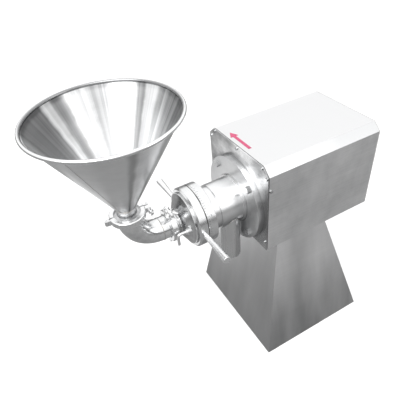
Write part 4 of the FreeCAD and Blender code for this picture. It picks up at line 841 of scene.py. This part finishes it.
def outlet_path():
    """Where the upright outlet pipe meets the level body.

    The pipe's circle gives the place seen from above. The height lies under the shaft by the
    square root of the body's radius squared less the sideways distance squared.
    """
    sizes = details()
    x, y, _ = middle_of("outlet_pipe")
    path = circle_path((x, y, 0.0), (1.0, 0.0, 0.0), (0.0, 1.0, 0.0), sizes.pipe_radius)
    path[:, 2] = SHAFT_Z - np.sqrt(sizes.body_radius ** 2 - path[:, 1] ** 2)
    return path


def seam_path(x, low_z):
    """Outline of the cover in one upright plane: up one side, over both chamfers and down."""
    sizes = details()
    side, top = COVER_HIGH[1], COVER_HIGH[2]
    shoulder, slope = side - sizes.cover_chamfer_y, top - sizes.cover_chamfer_z
    corners = np.array([(x, -side, low_z), (x, -side, slope), (x, -shoulder, top),
                        (x, shoulder, top), (x, side, slope), (x, side, low_z)])
    return corners


def strip_along(corners, radius):
    """Round strip along an open line of corners, closed at both ends.

    The section is a circle in the plane that halves the angle at each corner, stretched there
    so that the strip keeps its width.
    """
    ahead = np.diff(corners, axis=0)
    ahead /= np.linalg.norm(ahead, axis=1)[:, None]
    before = np.concatenate([ahead[:1], ahead])
    after = np.concatenate([ahead, ahead[-1:]])
    halved = before + after
    halved /= np.linalg.norm(halved, axis=1)[:, None]
    side = np.array((1.0, 0.0, 0.0))
    up = np.cross(side, halved)
    stretch = 1.0 / np.sqrt(np.clip((1.0 + (before * after).sum(axis=1)) / 2.0, 0.1, 1.0))
    turn = np.linspace(0.0, 2.0 * math.pi, BEAD_SECTION, endpoint=False)
    rings = corners[:, None, :] + radius * np.sin(turn)[None, :, None] * side
    rings = rings + radius * (stretch[:, None] * np.cos(turn))[:, :, None] * up[:, None, :]
    ends = corners[[0, -1]]
    points = np.concatenate([np.repeat(ends[:1, None, :], BEAD_SECTION, axis=1), rings,
                             np.repeat(ends[1:, None, :], BEAD_SECTION, axis=1)])
    return points, grid_faces(len(points), BEAD_SECTION)


def ring_marks():
    """Marks round the scale ring as thin blocks.

    Each block lies on the ring at its own angle. Its corners are the two ends of its length
    along the shaft, the two sides of its width round the ring and a depth under and over the
    ring's surface. Every fifth mark is longer by the long share.
    """
    sizes = details()
    count = sizes.scale_marks
    angle = np.arange(count) * 2.0 * math.pi / count
    length = sizes.mark_length * np.where(np.arange(count) % 5 == 0, LONG_MARK, 1.0)
    front = SCALE_LOW[0] + MARK_INSET
    radius = SCALE_HIGH[1]
    half = sizes.mark_width / 2.0 / radius
    along = np.stack([np.full(count, front), front + length], axis=1)
    around = np.stack([angle - half, angle + half], axis=1)
    out = np.array((radius - MARK_DEPTH, radius + MARK_PROUD))
    shape = (count, 2, 2, 2)
    x = np.broadcast_to(along[:, :, None, None], shape)
    theta = np.broadcast_to(around[:, None, :, None], shape)
    r = np.broadcast_to(out[None, None, None, :], shape)
    points = np.stack([x, r * np.sin(theta), SHAFT_Z + r * np.cos(theta)], axis=-1).reshape(count * 8, 3)
    faces = (np.array(BLOCK_FACES)[None, :, :] + 8 * np.arange(count)[:, None, None]).reshape(-1, 4)
    return points, faces


# Studio: the backdrop's sides and its height as a share of the floor's radius
BACKDROP_SIDES = 64
BACKDROP_SHARE = 1.5
FLOOR_ROUGHNESS = 0.85
SENSOR_WIDTH = 36.0
WHITE = (1.0, 1.0, 1.0, 1.0)

# Softboxes: name, place, the point that each faces, size in metres and power in watts
SOFTBOXES = (
    ("key_softbox", (-1.6, -0.9, 2.9), (-0.1, 0.0, 0.4), 2.6, 60.0),
    ("fill_softbox", (1.9, -2.4, 1.9), (0.0, 0.0, 0.5), 1.8, 14.0),
    ("low_softbox", (-0.58, 0.5, 0.08), (-0.16, -0.1, 0.62), 0.36, 0.3))

# Grey of the surroundings from straight down (0) through the horizon (0.5) to straight up (1)
SKY_STOPS = (
    (0.0, 0.22), (0.3, 0.29), (0.44, 0.24), (0.475, 0.05), (0.5, 0.08), (0.54, 0.3), (0.6, 0.8), (1.0, 0.95))

# Finishes made so far, and the nodes whose finish differs from the rest of their slot
made_finishes = {}
OWN_FINISH = {"pedestal_shell": "pedestal_sheet", "outlet_pipe": "outlet_steel", "front_cover": "cone_steel",
              "hopper_rim": "rim_steel", "hopper_neck": "neck_steel", "mill_body": "body_steel"}


class MillOperator(bpy.types.Operator):
    """Shared settings of the operators."""

    bl_options = {"REGISTER", "UNDO"}


class MILL_OT_finishes(MillOperator):
    """Give every CAD node the finish of its material slot"""

    bl_idname = "mill.finishes"
    bl_label = "Finishes"

    def execute(self, context):
        made_finishes.update(slot_finishes())
        for name, node in nodes.items():
            for slot in node.material_slots:
                wanted = OWN_FINISH.get(name, slot.material.name.split(".")[0])
                if wanted not in made_finishes:
                    raise RuntimeError(f"no finish for {slot.material.name} on {name}")
                slot.material = made_finishes[wanted]
        return {"FINISHED"}


class MILL_OT_pipe_welds(MillOperator):
    """Weld beads of the inlet pipe, the hopper's neck and the outlet pipe"""

    bl_idname = "mill.pipe_welds"
    bl_label = "Pipe welds"

    def execute(self, context):
        sizes = details()
        bead = sizes.bead_radius
        level = (HOPPER_X + sizes.bend_radius, 0.0, SHAFT_Z)
        upright = (HOPPER_X, 0.0, SHAFT_Z + sizes.bend_radius)
        neck = (HOPPER_X, 0.0, HOPPER_LOW[2])
        x, y, z = np.eye(3)
        new_piece("weld_elbow_level", closed_bead(circle_path(level, y, z, sizes.pipe_radius), bead),
                  "carriage", "weld_metal")
        new_piece("weld_elbow_upright", closed_bead(circle_path(upright, x, y, sizes.pipe_radius), bead),
                  "carriage", "weld_metal")
        new_piece("weld_hopper_neck", closed_bead(circle_path(neck, x, y, sizes.neck_radius), bead),
                  "carriage", "weld_metal")
        new_piece("weld_outlet", closed_bead(outlet_path(), bead), "machine", "weld_metal")
        return {"FINISHED"}


class MILL_OT_hopper_seams(MillOperator):
    """Ground welds between the rolled panels of the hopper"""

    bl_idname = "mill.hopper_seams"
    bl_label = "Hopper seams"

    def execute(self, context):
        sizes = details()
        top_radius = (HOPPER_HIGH[0] - HOPPER_LOW[0]) / 2.0 - HOPPER_LIP_REACH
        top_z = HOPPER_HIGH[2] - HOPPER_LIP_RISE
        for k in range(HOPPER_PANELS):
            angle = (k + 0.5) * 2.0 * math.pi / HOPPER_PANELS
            across = (math.cos(angle), math.sin(angle))
            low = (HOPPER_X + sizes.neck_radius * across[0], sizes.neck_radius * across[1], HOPPER_LOW[2])
            high = (HOPPER_X + top_radius * across[0], top_radius * across[1], top_z)
            new_piece(f"weld_hopper_seam_{k + 1}", straight_bead(low, high, sizes.ground_bead),
                      "carriage", "weld_metal")
        return {"FINISHED"}


class MILL_OT_cover_seams(MillOperator):
    """Sealing strips between the cover and its end plates, dark in front and pale behind"""

    bl_idname = "mill.cover_seams"
    bl_label = "Cover seams"

    def execute(self, context):
        radius = details().seam_radius
        front = strip_along(seam_path(PLATE_HIGH[0], COVER_LOW[2]), radius)
        rear = strip_along(seam_path(REAR_X, COVER_LOW[2]), radius)
        new_piece("seam_front", front, "machine", "seam_sealant")
        new_piece("seam_rear", rear, "machine", "pale_sealant")
        return {"FINISHED"}


class MILL_OT_scale_marks(MillOperator):
    """Plain marks round the scale ring"""

    bl_idname = "mill.scale_marks"
    bl_label = "Scale marks"

    def execute(self, context):
        new_piece("scale_marks", ring_marks(), "machine", "mark_fill")
        return {"FINISHED"}


class MILL_OT_studio(MillOperator):
    """Build the floor, the lights and the camera"""

    bl_idname = "mill.studio"
    bl_label = "Studio"

    def execute(self, context):
        settings = studio()
        turn = np.linspace(0.0, 2.0 * math.pi, BACKDROP_SIDES, endpoint=False)
        rim = settings.reach * np.stack([np.cos(turn), np.sin(turn), 0.0 * turn], axis=1)
        floor = self.stage_piece(context, "studio_floor", rim, [tuple(range(BACKDROP_SIDES))])
        wall = np.concatenate([rim, rim + (0.0, 0.0, settings.reach * BACKDROP_SHARE)])
        backdrop = self.stage_piece(context, "studio_backdrop", wall, grid_faces(2, BACKDROP_SIDES).tolist())
        pale = (*settings.floor_colour, 1.0)
        finish = Finish("studio_floor_paint")
        floor.data.materials.append(finish.surface(base_color=pale, roughness=FLOOR_ROUGHNESS))
        glow = Finish("studio_backdrop_glow")
        backdrop.data.materials.append(glow.surface(
            base_color=pale, roughness=FLOOR_ROUGHNESS, emission_color=WHITE, emission_strength=1.0))
        for hidden_from in ("visible_diffuse", "visible_glossy", "visible_shadow", "visible_transmission"):
            setattr(backdrop, hidden_from, False)
        floor.visible_glossy = False
        for softbox in SOFTBOXES:
            self.add_light(context, *softbox)
        self.add_world(context)
        camera = bpy.data.objects.new("photo_camera", bpy.data.cameras.new("photo_camera"))
        camera.data.sensor_width = SENSOR_WIDTH
        camera.data.lens = settings.lens
        camera.location = settings.camera_place
        camera.rotation_euler = settings.camera_turn
        context.scene.collection.objects.link(camera)
        context.scene.camera = camera
        context.scene.view_settings.view_transform = "Standard"
        return {"FINISHED"}

    def stage_piece(self, context, name, points, faces):
        """One surface of the studio."""
        mesh = bpy.data.meshes.new(name)
        mesh.from_pydata(points.tolist(), [], faces)
        piece = bpy.data.objects.new(name, mesh)
        context.scene.collection.objects.link(piece)
        return piece

    def add_light(self, context, name, place, target, size, power):
        """One square softbox aimed at a point."""
        lamp = bpy.data.lights.new(name, "AREA")
        lamp.size = size
        lamp.energy = power
        light = bpy.data.objects.new(name, lamp)
        light.location = place
        aim = [t - p for t, p in zip(target, place)]
        heading = math.atan2(aim[1], aim[0])
        fall = math.atan2(math.hypot(aim[0], aim[1]), -aim[2])
        light.rotation_euler = (fall, 0.0, heading - math.pi / 2.0)
        light.visible_camera = False
        context.scene.collection.objects.link(light)

    def add_world(self, context):
        """Soft surroundings: grey below, a dark band at the horizon and a bright sky."""
        world = bpy.data.worlds.new("soft_surroundings")
        sky = Shading(world)
        upward = sky.parts(sky.node("ShaderNodeTexCoord", {}, {}, "Generated"))[2]
        grey = sky.ramp(upward * 0.5 + 0.5, SKY_STOPS)
        shade = sky.node("ShaderNodeBackground", {}, {"Color": grey, "Strength": studio().sky_strength})
        sky.node("ShaderNodeOutputWorld", {}, {"Surface": shade})
        context.scene.world = world


class MILL_PT_panel(bpy.types.Panel):
    """Sidebar panel of the mill."""

    bl_idname = "MILL_PT_panel"
    bl_label = "Colloid mill"
    bl_space_type = "VIEW_3D"
    bl_region_type = "UI"
    bl_category = "Mill"

    def draw(self, context):
        for settings in (finishes(), details(), studio()):
            box = self.layout.box()
            for key in settings.bl_rna.properties.keys():
                if key not in ("rna_type", "name"):
                    box.prop(settings, key)
        for operator in operators:
            self.layout.operator(operator.bl_idname)


operators = (MILL_OT_finishes, MILL_OT_pipe_welds, MILL_OT_hopper_seams, MILL_OT_cover_seams,
             MILL_OT_scale_marks, MILL_OT_studio)
classes = (MillFinishSettings, MillDetailSettings, MillStudioSettings, *operators, MILL_PT_panel)


def register():
    """Register the classes and the scene's settings."""
    for made in classes:
        bpy.utils.register_class(made)
    bpy.types.Scene.mill_finish = PointerProperty(type=MillFinishSettings)
    bpy.types.Scene.mill_detail = PointerProperty(type=MillDetailSettings)
    bpy.types.Scene.mill_studio = PointerProperty(type=MillStudioSettings)


def unregister():
    """Remove the settings and the classes."""
    del bpy.types.Scene.mill_studio
    del bpy.types.Scene.mill_detail
    del bpy.types.Scene.mill_finish
    for made in reversed(classes):
        bpy.utils.unregister_class(made)


def main():
    """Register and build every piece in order."""
    register()
    bpy.ops.mill.finishes()
    bpy.ops.mill.pipe_welds()
    bpy.ops.mill.hopper_seams()
    bpy.ops.mill.cover_seams()
    bpy.ops.mill.scale_marks()
    bpy.ops.mill.studio()


if __name__ == "__main__":
    main()
